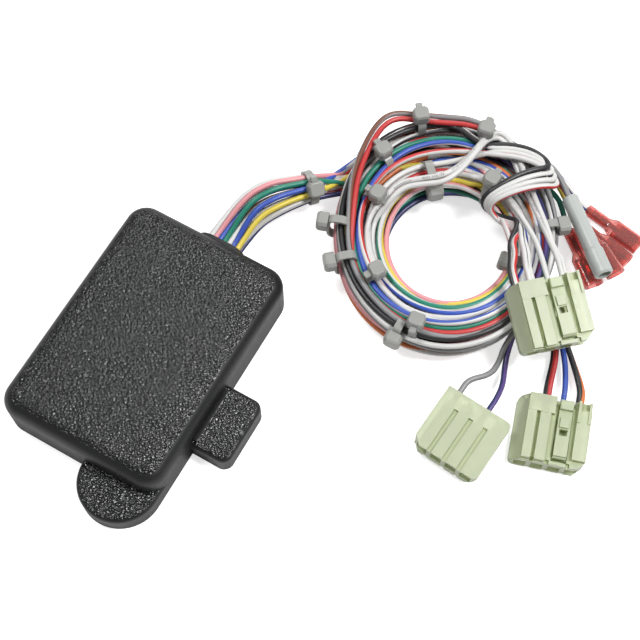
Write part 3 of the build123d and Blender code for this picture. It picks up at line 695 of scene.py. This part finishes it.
@dataclass(frozen=True)
class WirePlan:
    """One wire of the harness.

    Args:
        name: piece name.
        jacket: its insulation.
        end: what it ends in.
        rank: its place across the top of the coil, 0 at the hole and 1 at the outside.
        slot: its place in the lead, counted as bundle_slots does.
        way: the route of its last turn.
    """

    name: str
    jacket: Jacket
    end: End
    rank: float
    slot: int
    way: Way = Way.RING


INK = (0.12, 0.12, 0.13)
WHITE = (0.63, 0.625, 0.61)
BLACK = (0.022, 0.022, 0.024)
RED = (0.52, 0.035, 0.035)
BLUE = (0.035, 0.085, 0.42)
GREEN = (0.015, 0.21, 0.14)
YELLOW = (0.70, 0.56, 0.07)
BROWN = (0.16, 0.065, 0.04)
GREY = (0.25, 0.25, 0.255)
VIOLET = (0.10, 0.06, 0.22)
ORANGE = (0.62, 0.17, 0.05)
PINK = (0.72, 0.30, 0.32)
NAVY = (0.03, 0.035, 0.13)
PRINTED_WHITE = Jacket(WHITE, None, True)

WIRES = [
    WirePlan("wire_white_red", Jacket(WHITE, RED), End.CONNECTOR_A, 0.49, 12, Way.WRAP),
    WirePlan("wire_white_blue", Jacket(WHITE, BLUE), End.CONNECTOR_A, 0.33, 15, Way.WRAP),
    WirePlan("wire_white_a", PRINTED_WHITE, End.CONNECTOR_A, 0.24, 0, Way.SASH),
    WirePlan("wire_white_green", Jacket(WHITE, GREEN), End.CONNECTOR_A, 0.17, 13),
    WirePlan("wire_white_black", Jacket(WHITE, BLACK), End.CONNECTOR_A, 0.93, 1, Way.WRAP),
    WirePlan("wire_black_a", Jacket(BLACK), End.CONNECTOR_A, 0.85, 10, Way.WRAP),
    WirePlan("wire_white_b", PRINTED_WHITE, End.CONNECTOR_A, 0.41, 6, Way.SASH),
    WirePlan("wire_pink", Jacket(PINK, WHITE), End.CONNECTOR_A, 0.03, 2),
    WirePlan("wire_grey", Jacket(GREY), End.CONNECTOR_B, 0.95, 11),
    WirePlan("wire_violet", Jacket(NAVY, VIOLET), End.CONNECTOR_B, 0.72, 7),
    WirePlan("wire_red", Jacket(RED), End.CONNECTOR_C, 0.22, 8),
    WirePlan("wire_black_green", Jacket(BLACK, GREEN), End.CONNECTOR_C, 0.60, 19),
    WirePlan("wire_blue", Jacket(BLUE), End.CONNECTOR_C, 0.38, 14),
    WirePlan("wire_orange", Jacket(ORANGE), End.CONNECTOR_C, 0.52, 16),
    WirePlan("wire_black_b", Jacket(BLACK), End.CONNECTOR_C, 0.10, 9),
    WirePlan("wire_navy_white", Jacket(BLUE, WHITE), End.BLADE_1, 0.56, 4),
    WirePlan("wire_yellow", Jacket(YELLOW), End.BLADE_2, 0.10, 5),
    WirePlan("wire_red_long", Jacket(RED), End.BLADE_3, 0.70, 17, Way.BULGE),
    WirePlan("wire_teal", Jacket(GREEN), End.BLADE_4, 0.63, 3),
    WirePlan("wire_grey_brown", Jacket(GREY, BROWN), End.BULLET, 0.78, 18, Way.BULGE),
]


def blend(low: float, high: float, value: float) -> float:
    """Smooth step of value between low and high, from 0 to 1."""
    share = min(1.0, max(0.0, (value - low) / (high - low)))
    return share * share * (3 - 2 * share)


def bundle_slots() -> list[tuple[float, float]]:
    """Places in the round lead: its upper arc from left to right, its lower arc, its middle."""
    angles = [180 - 30 * i for i in range(7)] + [-30 - 30 * i for i in range(5)]
    arcs = [(2 * WIRE_D, angle) for angle in angles]
    arcs += [(WIRE_D, angle) for angle in range(0, 360, 60)]
    places = []
    for reach, angle in arcs:
        way = math.radians(angle)
        places.append((reach * math.cos(way), reach * math.sin(way)))
    return places + [(0.0, 0.0), (0.0, -2.75 * WIRE_D)]


@dataclass
class Wire:
    """One wire of the harness: its route, its tube and its look.

    Args:
        plan: what it is.
        index: its number in the bundle.
        entry: its number among the wires of the same end.
    """

    plan: WirePlan
    index: int
    entry: int

    def __post_init__(self) -> None:
        self.dice = random.Random(SEED + 7 * self.index)
        self.terminal = TERMINALS[self.plan.end]
        count = len(WIRES)
        layers = range(LAST_LAYER + 1)
        order = [random.Random(SEED * 3 + k).sample(range(count), count) for k in layers]
        self.columns = [(o[self.index] + 0.5) / count for o in order]
        self.rows = [o[self.index] % 3 - 1 for o in order]
        self.waves = [
            (self.dice.uniform(0.5, 3.1), self.dice.uniform(0, WAVE_TURN)) for _ in layers
        ]

    def wave(self, number: int, turns: float) -> float:
        """Slow wandering from -1 to 1."""
        slow, start = self.waves[number]
        return math.sin(WAVE_TURN * slow * turns + start)

    def across(self, turns: float) -> float:
        """Share across the ring: a new place each turn, and the wire's rank on the last one.

        Args:
            turns: turns made so far.

        Returns:
            The share, about 0 at the hole and 1 at the outside.
        """
        layer = min(LAST_LAYER, int(turns))
        columns = [FIRST_INNER + FIRST_BREADTH * self.columns[0], *self.columns[1:]]
        across = columns[layer]
        if layer < LAST_LAYER:
            across += (columns[layer + 1] - across) * blend(*CHANGE_COLUMN, turns - layer)
        last_turn = self.terminal.leave - 1.0
        on_top = blend(last_turn + RANK_FROM, last_turn + RANK_TO, turns)
        across += (self.plan.rank - across) * on_top
        if turns > TIGHT_AFTER:
            away = START_ANGLE - 360 * turns - TIGHT_ANGLE
            tight = math.cos(math.radians(away)) * 0.5 + 0.5
            across *= 1 - TIGHTENING * tight**3
        return across + WAVE_ACROSS * self.wave(0, turns)

    def height(self, turns: float, across: float) -> float:
        """Height of the wire: each turn lies over the one before.

        Args:
            turns: turns made so far.
            across: share across the ring.

        Returns:
            Height of the wire's middle.
        """
        layer = min(LAST_LAYER, int(turns))
        share = turns - layer
        upper = (layer + 0.5) / LAYERS_UPPER
        lower = (layer + 0.5) / LAYERS_LOWER
        level = upper + (lower - upper) * blend(*CHANGE_COUNT, share)
        if layer < LAST_LAYER:
            level += ((layer + 1.5) / LAYERS_UPPER - level) * blend(*CLIMB, share)
        row, later = self.rows[layer], self.rows[min(LAST_LAYER, layer + 1)]
        row += (later - row) * blend(*CHANGE_ROW, share)
        level += ROW_STEP * row + WAVE_UP * self.wave(1, turns)
        edge = abs(2 * min(1.0, max(0.0, across)) - 1) ** EDGE_POWER
        level = 0.5 + (level - 0.5) * (1 - EDGE_FALL * edge)
        return RING.level(min(1.0, max(0.0, level)))

    def lead(self) -> list[Vector]:
        """Control points from the case to the coil."""
        slots = bundle_slots()
        u, v = slots[self.plan.slot]
        levels = sorted(slots, key=lambda slot: -slot[1])
        rows = [levels[:7], levels[7:13], levels[13:]]
        row = next(i for i, group in enumerate(rows) if (u, v) in group)
        column = sorted(rows[row]).index((u, v)) + (0.5 if row == 1 else 0.0)
        shift = Vector(((column - 3) * EXIT_COLUMN, 0, (1 - row) * EXIT_ROW))
        start = Vector(EXIT) + shift
        points = [start, start + Vector((0, EXIT_STRAIGHT, 0))]
        for i, (place, grow) in enumerate(zip(LEAD_ROUTE, LEAD_SPREAD)):
            k = min(len(LEAD_ROUTE) - 2, i)
            ahead = (Vector(LEAD_ROUTE[k + 1]) - Vector(LEAD_ROUTE[k])).normalized()
            right = ahead.cross(UP).normalized()
            rise = right.cross(ahead)
            points.append(Vector(place) + right * u * grow + rise * v * grow)
        return points

    def coil(self) -> list[Vector]:
        """Control points of the turns, with the stray stretch of this wire."""
        leave = self.terminal.leave
        way = self.plan.way
        stray = STRAYS[way]
        spans = [(START_ANGLE - angle) / 360 + 3 for angle, _, _ in stray]
        stop = min([leave] + [span - STRAY_JOIN for span in spans[:1]])
        points = []
        for i in range(int(leave * POINTS_PER_TURN) + 1):
            turns = FIRST_TURNS + i / POINTS_PER_TURN
            if turns > stop:
                break
            points.append(self.ring_point(turns, self.across(turns)))
        order = [plan.name for plan in WIRES if plan.way is way]
        shift = order.index(self.plan.name) - (len(order) - 1) / 2
        turned, moved = (shift * WRAP_STEP, 0.0) if way is Way.WRAP else (0.0, shift * STRAY_STEP)
        for angle, across, height in stray:
            points.append(RING.point(angle + turned, across + moved, height))
        if way in (Way.RING, Way.WRAP):
            return points
        final = max(spans)
        turns = final + STRAY_LEAVE
        while turns < leave:
            across = self.across(turns)
            back = 1 - blend(final, final + STRAY_FADE, turns)
            height = self.height(turns, across)
            across += (stray[-1][1] - across) * back
            points.append(RING.point(START_ANGLE - 360 * turns, across, height))
            turns += 1 / POINTS_PER_TURN
        return points

    def ring_point(self, turns: float, across: float) -> Vector:
        """The wire's point after so many turns."""
        return RING.point(START_ANGLE - 360 * turns, across, self.height(turns, across))

    def tail(self) -> list[Vector]:
        """Control points from the coil into the terminal."""
        goal = self.terminal
        middle, ahead, side = Vector(goal.middle), Vector(goal.ahead), Vector(goal.side)
        points = [Vector(place) for place in goal.branch]
        if not goal.columns:
            return points + [middle - ahead * SLEEVE_BEFORE, middle + ahead * SLEEVE_INTO]
        across = side * (goal.columns[self.entry] * PITCH + goal.nudges[self.entry])
        lift = WIRE_D * BRANCH_LIFT * (-1) ** self.entry
        last = len(points) - 1
        for i, place in enumerate(points):
            share = goal.spread + (1 - goal.spread) * (i / last) ** 2
            extra = 0.0 if i == last else self.dice.uniform(-BRANCH_JITTER, BRANCH_JITTER)
            points[i] = place + across * share + side * extra
            height = place.z + lift * (1 - BRANCH_FLATTEN * share)
            points[i].z = max(height, WIRE_D / 2 + BRANCH_GAP)
        back = middle + across
        return points + [back - ahead * OPENING_BEFORE, back + ahead * OPENING_INTO]

    def build(self) -> bpy.types.Object:
        controls = self.lead() + self.coil() + self.tail()
        path = spline_points([point * MM for point in controls], self.plan.name)
        radius = WIRE_D / 2 * MM
        for point in path:
            point.z = max(point.z, radius + FLOOR_GAP)
        wire = tube(self.plan.name, path, radius)
        self.dress(wire)
        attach(wire, "unit")
        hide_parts("wire_bundle", "wire_coil")
        self.declare()
        return wire

    def dress(self, wire: bpy.types.Object) -> None:
        """Give the tube its jacket."""
        wire.data.materials.append(self.plan.jacket.material(f"{self.plan.name}_jacket"))

    def declare(self) -> None:
        """Hide the CAD branch solid that the wire stands for.
        """
        code = self.plan.end.value
        branch, names = f"tail_{code}", [f"bullet_{part}" for part in ("sleeve", "socket")]
        if code.isdigit():
            branch = f"tail_blade_{code}"
            names = [f"blade_{part}_{code}" for part in ("sleeve", "contact")]
        elif self.terminal.columns:
            names = [f"connector_{code}_{part}" for part in ("housing", "latch", "contacts")]
        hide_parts(branch)


def spline_points(controls: list[Vector], name: str) -> list[Vector]:
    """Points along the smooth spline that the control points steer.

    Args:
        controls: control points in metres.
        name: name of the throwaway curve.

    Returns:
        Points in metres, in order.
    """
    curve = bpy.data.curves.new(f"{name}_line", "CURVE")
    curve.dimensions = "3D"
    curve.resolution_u = SPLINE_STEPS
    line = curve.splines.new("NURBS")
    line.points.add(len(controls) - 1)
    for point, place in zip(line.points, controls):
        point.co = (*place, 1.0)
    line.order_u = 3
    line.use_endpoint_u = True
    holder = bpy.data.objects.new(f"{name}_line", curve)
    mesh = bpy.data.meshes.new_from_object(holder)
    points = [vertex.co.copy() for vertex in mesh.vertices]
    bpy.data.objects.remove(holder)
    bpy.data.curves.remove(curve)
    bpy.data.meshes.remove(mesh)
    kept = [points[0]]
    for point in points[1:]:
        if (point - kept[-1]).length > SAME_PLACE:
            kept.append(point)
    return kept


def tube_rings(path: list[Vector], radius: float) -> tuple[list[tuple], list[float]]:
    """Rings of vertices that follow a path without twisting.

    Args:
        path: points in metres.
        radius: radius in metres.

    Returns:
        The vertices, ring by ring, and the length run up to each ring.
    """
    line = np.array([tuple(point) for point in path])
    ahead = np.gradient(line, axis=0)
    ahead /= np.linalg.norm(ahead, axis=1)[:, None]
    side = np.cross(ahead[0], (0.0, 0.0, 1.0))
    side /= np.linalg.norm(side)
    verts, reach = [], [0.0]
    for i, middle in enumerate(line):
        side = side - ahead[i] * side.dot(ahead[i])
        side /= np.linalg.norm(side)
        up = np.cross(ahead[i], side)
        for k in range(WIRE_SIDES):
            way = 2 * math.pi * k / WIRE_SIDES
            verts.append(tuple(middle + radius * (side * math.cos(way) + up * math.sin(way))))
        if i:
            reach.append(reach[-1] + float(np.linalg.norm(middle - line[i - 1])))
    return verts, reach


def tube(name: str, path: list[Vector], radius: float) -> bpy.types.Object:
    """A round tube with closed ends and a map of length and turn.

    Args:
        name: piece name.
        path: points in metres.
        radius: radius in metres.

    Returns:
        The new mesh object.
    """
    verts, reach = tube_rings(path, radius)
    faces = []
    for i in range(len(path) - 1):
        for k in range(WIRE_SIDES):
            a = i * WIRE_SIDES + k
            b = i * WIRE_SIDES + (k + 1) % WIRE_SIDES
            faces.append((a, b, b + WIRE_SIDES, a + WIRE_SIDES))
    last = (len(path) - 1) * WIRE_SIDES
    faces.append(tuple(range(WIRE_SIDES))[::-1])
    faces.append(tuple(range(last, last + WIRE_SIDES)))
    mesh = bpy.data.meshes.new(name)
    mesh.from_pydata(verts, [], faces)
    layer = mesh.uv_layers.new(name=RUN_MAP)
    for face in mesh.polygons:
        sides = [index % WIRE_SIDES for index in face.vertices]
        wall = len(sides) == 4
        closing = wall and max(sides) == WIRE_SIDES - 1
        face.use_smooth = wall
        for slot in face.loop_indices:
            ring, k = divmod(mesh.loops[slot].vertex_index, WIRE_SIDES)
            turn = 1.0 if closing and k == 0 else k / WIRE_SIDES
            layer.data[slot].uv = (reach[ring] * RUN_UNITS, turn)
    return new_object(name, mesh)


# ---- the cable ties ----

STRAP_W = 2.7
STRAP_T = 0.9
HEAD_SIZE = (5.0, 5.4, 3.8)
HEAD_CUT = 0.9
STUB_SIZE = (2.2, STRAP_W - 0.4, 1.0)
STUB_CUT = 0.2
STUB_LIFT = 0.2
EDGE_R = 0.25
BLOCK_LEVELS = ((-1.0, 1.0), (0.55, 1.0), (1.0, 0.82))
LOOP_STEPS = 40
LOOP_POWER = 0.55
SIDE_HEAD_LEVEL = 0.72
LEAD_TIE_BACK = 2.4
LEAD_TIE_R = 5.3
LEAD_TIE_STEPS = 36


@dataclass(frozen=True)
class TiePlan:
    """One cable tie round part of the coil.

    Args:
        name: piece name.
        node: the CAD tie that it stands for.
        angle: direction from the hole's middle in degrees.
        span: the shares across the ring between which the strap goes.
        low: height of the strap's underside.
        high: height of the strap's top run.
        head: where the head sits.
        share: where along the span a head on top sits.
    """

    name: str
    node: str
    angle: float
    span: tuple[float, float]
    low: float
    high: float
    head: Head
    share: float = 0.5


TIES = [
    TiePlan("tie_a", "tie_01", 200.0, (0.60, 0.93), 6.5, 17.0, Head.OUTSIDE),
    TiePlan("tie_b", "tie_02", 221.0, (0.56, 0.93), 6.5, 17.0, Head.OUTSIDE),
    TiePlan("tie_c", "tie_03", 238.0, (0.20, 0.56), 5.0, 17.0, Head.TOP, 0.45),
    TiePlan("tie_d", "tie_04", 278.0, (0.46, 0.84), 5.0, 16.6, Head.TOP, 0.55),
    TiePlan("tie_e", "tie_04", 270.5, (0.66, 0.96), 5.0, 16.0, Head.OUTSIDE),
    TiePlan("tie_f", "tie_05", 178.0, (0.10, 0.46), 5.0, 17.4, Head.TOP, 0.45),
    TiePlan("tie_g", "tie_06", 154.0, (0.42, 0.74), 5.0, 17.2, Head.TOP, 0.5),
    TiePlan("tie_h", "tie_07", 130.0, (0.72, 0.98), 9.0, 16.8, Head.TOP, 0.4),
    TiePlan("tie_i", "tie_07", 132.0, (-0.02, 0.30), 3.0, 16.6, Head.INSIDE),
    TiePlan("tie_j", "tie_08", 100.5, (0.52, 0.94), 5.0, 19.0, Head.TOP, 0.4),
    TiePlan("tie_k", "tie_09", 84.0, (0.00, 0.34), 5.0, 16.8, Head.TOP, 0.4),
    TiePlan("tie_l", "tie_10", 38.0, (0.58, 0.94), 6.0, 16.6, Head.OUTSIDE),
    TiePlan("tie_m", "tie_11", 8.0, (-0.02, 0.40), 3.0, 16.6, Head.INSIDE),
]


@dataclass
class CableTie:
    """A nylon cable tie: a strap loop with a ratchet head and a cut end.

    Args:
        name: piece name.
        node: the CAD tie that it stands for.
        loop: middle line of the strap.
        along: direction along the bundle.
        spot: middle of the head.
        out: direction in which the strap runs through the head.
        up: direction away from the bundle.
    """

    name: str
    node: str
    loop: list[Vector]
    along: Vector
    spot: Vector
    out: Vector
    up: Vector

    def strap(self, mesh: bmesh.types.BMesh) -> None:
        """Add the closed strap to the mesh."""
        count = len(self.loop)
        centre = sum(self.loop, Vector()) / count
        corners = [(-1, -1), (1, -1), (1, 1), (-1, 1)]
        rings = []
        for i, point in enumerate(self.loop):
            run = (self.loop[(i + 1) % count] - self.loop[i - 1]).normalized()
            away = run.cross(self.along).normalized()
            if away.dot(point - centre) < 0:
                away = -away
            ring = []
            for a, b in corners:
                place = point + self.along * a * STRAP_W / 2 + away * b * STRAP_T / 2
                ring.append(mesh.verts.new(place * MM))
            rings.append(ring)
        for a, b in zip(rings, rings[1:] + rings[:1]):
            for k in range(len(corners)):
                n = (k + 1) % len(corners)
                mesh.faces.new((a[k], a[n], b[n], b[k]))

    def block(self, mesh: bmesh.types.BMesh, spot: Vector, size: Triple, cut: float) -> None:
        """Add a block with clipped corners to the mesh.

        Args:
            mesh: the mesh that takes it.
            spot: middle of the block.
            size: its length, width and height.
            cut: how much its corners are clipped.
        """
        length, width, height = (value / 2 for value in size)
        half = [(length - cut, width), (length, width - cut)]
        half += [(x, -y) for x, y in half[::-1]]
        outline = half + [(-x, -y) for x, y in half]
        rows = []
        for level, shrink in BLOCK_LEVELS:
            base = spot + self.up * height * level
            places = [base + (self.out * x + self.along * y) * shrink for x, y in outline]
            rows.append([mesh.verts.new(place * MM) for place in places])
        for low, high in zip(rows, rows[1:]):
            for k in range(len(outline)):
                n = (k + 1) % len(outline)
                mesh.faces.new((low[k], low[n], high[n], high[k]))
        mesh.faces.new(rows[0][::-1])
        mesh.faces.new(rows[-1])

    def build(self, nylon: Material) -> bpy.types.Object:
        """Join strap, head and cut end, and place the piece.

        Args:
            nylon: its material.

        Returns:
            The tie's object.
        """
        mesh = bmesh.new()
        self.strap(mesh)
        self.block(mesh, self.spot, HEAD_SIZE, HEAD_CUT)
        stub = self.spot + self.out * (HEAD_SIZE[0] / 2 + HEAD_CUT) + self.up * STUB_LIFT
        self.block(mesh, stub, STUB_SIZE, STUB_CUT)
        bmesh.ops.recalc_face_normals(mesh, faces=mesh.faces)
        data = bpy.data.meshes.new(self.name)
        mesh.to_mesh(data)
        mesh.free()
        piece = new_object(self.name, data)
        self.dress(piece, nylon)
        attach(piece, "unit")
        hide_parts(self.node)
        log.info("%s stands for %s", self.name, self.node)
        return piece

    def dress(self, piece: bpy.types.Object, nylon: Material) -> None:
        """Soften the edges and give the piece its nylon."""
        soften = piece.modifiers.new("soften", "BEVEL")
        soften.width = EDGE_R * MM
        soften.segments = 2
        soften.limit_method = "ANGLE"
        piece.data.materials.append(nylon)


def coil_tie(plan: TiePlan) -> CableTie:
    """A tie whose strap goes upright round part of the coil.

    Args:
        plan: what it is.

    Returns:
        The tie.
    """
    inner = RING.point(plan.angle, plan.span[0], 0.0)
    outer = RING.point(plan.angle, plan.span[1], 0.0)
    middle = (inner + outer) / 2
    middle.z = (plan.low + plan.high) / 2
    out = (outer - inner).normalized()
    width, height = (outer - inner).length, plan.high - plan.low
    loop = []
    for i in range(LOOP_STEPS):
        way = 2 * math.pi * i / LOOP_STEPS
        c, s = math.cos(way), math.sin(way)
        x = math.copysign(abs(c) ** LOOP_POWER, c) * width / 2
        z = math.copysign(abs(s) ** LOOP_POWER, s) * height / 2
        loop.append(middle + out * x + UP * z)
    along = out.cross(UP)
    if plan.head is Head.TOP:
        top = Vector((0, 0, plan.high + HEAD_SIZE[2] / 2))
        spot = inner.lerp(outer, plan.share) + top
        return CableTie(plan.name, plan.node, loop, along, spot, out, UP)
    edge, away = (outer, out) if plan.head is Head.OUTSIDE else (inner, -out)
    spot = edge + UP * (plan.low + height * SIDE_HEAD_LEVEL) + away * (HEAD_SIZE[2] / 2)
    return CableTie(plan.name, plan.node, loop, along, spot, -UP, away)


def lead_tie() -> CableTie:
    """The tie round the incoming bundle, where it meets the coil."""
    last, before = Vector(LEAD_ROUTE[-1]), Vector(LEAD_ROUTE[-2])
    along = (last - before).normalized()
    middle = last - along * LEAD_TIE_BACK
    side = along.cross(UP).normalized()
    rise = side.cross(along)
    loop = []
    for i in range(LEAD_TIE_STEPS):
        way = 2 * math.pi * i / LEAD_TIE_STEPS
        loop.append(middle + (side * math.cos(way) + rise * math.sin(way)) * LEAD_TIE_R)
    spot = middle + (rise * 0.80 + side * 0.60) * (LEAD_TIE_R + HEAD_SIZE[2] / 2)
    away = (spot - middle).normalized()
    return CableTie("tie_n", "tie_12", loop, along, spot, away.cross(along), away)


# ---- the parts of the scene ----


@dataclass(frozen=True)
class CadParts:
    """The pieces that keep their CAD shape: case, inside, connectors and terminals.

    Args:
        looks: the look for each material slot.
    """

    looks: dict[str, CaseLook | PlasticLook | OpaqueLook]

    def dress(self) -> dict[str, Material]:
        """Give every CAD node the material of its slot, and return the materials by slot."""
        made = {slot: look.material() for slot, look in self.looks.items()}
        for item in frame["record"]["subparts"]:
            node = frame["nodes"][item["node"]]
            node.data.materials.clear()
            node.data.materials.append(made[item["material_slot"]])
            log.info("%s dressed as %s", item["node"], item["material_slot"])
        return made


@dataclass(frozen=True)
class Harness:
    """The wires and the cable ties.

    Args:
        wires: plans of the wires.
        ties: plans of the ties round the coil.
    """

    wires: list[WirePlan]
    ties: list[TiePlan]

    def build(self, nylon: Material) -> None:
        """Build and dress all wires and ties; nylon is the ties' material."""
        counts: dict[End, int] = {}
        for index, plan in enumerate(self.wires):
            entry = counts.get(plan.end, 0)
            counts[plan.end] = entry + 1
            Wire(plan, index, entry).build()
        for tie in [*map(coil_tie, self.ties), lead_tie()]:
            tie.build(nylon)


@dataclass(frozen=True)
class Studio:
    """Camera, pale floor, plain world and lights, all in metres and degrees.

    Args:
        azimuth: direction of the camera.
        elevation: height angle of the camera.
        distance: distance of the camera.
        target: what the camera looks at.
        lens: focal length in millimetres.
        sensor: width of the sensor in millimetres.
        centre: what the lights look at, and the middle of the floor.
        floor: length of the floor's side.
        floor_tone: brightness of the floor.
        floor_glow: how much the floor glows towards the camera.
        sky_seen: strength of the world where the camera sees it, over its strength as a light.
        sky_light: strength of the world as a light.
        lamps: the lights: name, place, length of the side, power in watts.
    """

    azimuth: float = 29.59
    elevation: float = 66.62
    distance: float = 0.420
    target: Triple = (0.0405, 0.0377, 0.0)
    lens: float = 73.25
    sensor: float = 36.0
    centre: Triple = (0.05, 0.04, 0.0)
    floor: float = 30.0
    floor_tone: float = 0.86
    floor_glow: float = 0.62
    sky_seen: float = 0.74
    sky_light: float = 0.26
    lamps: tuple[tuple[str, Triple, float, float], ...] = (
        ("key", (0.50, 0.26, 0.90), 0.26, 8.5),
        ("sheen", (-0.36, -0.02, 1.00), 0.20, 4.2),
        ("back", (-0.2, 0.9, 0.6), 0.5, 3.0),
    )

    def build(self) -> None:
        """Set up the camera, the floor, the world and the lights."""
        self.add_camera()
        self.add_floor()
        self.add_world()
        for lamp in self.lamps:
            self.add_lamp(*lamp)
        bpy.context.scene.view_settings.view_transform = "Standard"

    def add_camera(self) -> None:
        """The camera, looking down at the object from its front right."""
        a, e = math.radians(self.azimuth), math.radians(self.elevation)
        back = Vector((math.sin(a) * math.cos(e), -math.cos(a) * math.cos(e), math.sin(e)))
        data = bpy.data.cameras.new("view")
        data.lens = self.lens
        data.sensor_width = self.sensor
        camera = new_object("view", data)
        camera.location = Vector(self.target) + back * self.distance
        camera.rotation_euler = back.to_track_quat("Z", "Y").to_euler()
        bpy.context.scene.camera = camera

    def add_floor(self) -> None:
        """A pale floor that glows a little towards the camera."""
        bpy.ops.mesh.primitive_plane_add(size=self.floor, location=self.centre)
        floor = bpy.context.active_object
        floor.name = "floor"
        surface = Surface("floor_white")
        path = surface.sheet.add("ShaderNodeLightPath").outputs
        seen = surface.sheet.math("MAXIMUM", path["Is Camera Ray"], path["Is Transmission Ray"])
        glow = surface.sheet.math("MULTIPLY", seen, self.floor_glow)
        surface.set({"Base Color": (self.floor_tone,) * 3, "Roughness": 0.9})
        surface.set({"Emission Color": (1.0, 1.0, 1.0), "Emission Strength": glow})
        floor.data.materials.append(surface.material)

    def add_world(self) -> None:
        """A plain world, white where the camera sees it and dimmer as a light."""
        world = bpy.data.worlds.new("plain")
        world.use_nodes = True
        sheet = Sheet(world.node_tree)
        background = world.node_tree.nodes["Background"]
        direct = sheet.add("ShaderNodeLightPath").outputs["Is Camera Ray"]
        seen = sheet.math("MULTIPLY", direct, self.sky_seen)
        strength = sheet.math("ADD", seen, self.sky_light)
        sheet.feed(background.inputs[0], (1.0, 1.0, 1.0))
        sheet.feed(background.inputs[1], strength)
        bpy.context.scene.world = world

    def add_lamp(self, name: str, place: Triple, size: float, power: float) -> None:
        """A square soft light that looks at the object."""
        data = bpy.data.lights.new(name, "AREA")
        data.size = size
        data.energy = power
        lamp = new_object(name, data)
        lamp.location = place
        back = Vector(place) - Vector(self.centre)
        lamp.rotation_euler = back.to_track_quat("Z", "Y").to_euler()


def main() -> None:
    """Build the scene."""
    Studio().build()
    materials = CadParts(LOOKS).dress()
    Harness(WIRES, TIES).build(materials[Finish.TIE.value])


if __name__ == "__main__":
    main()
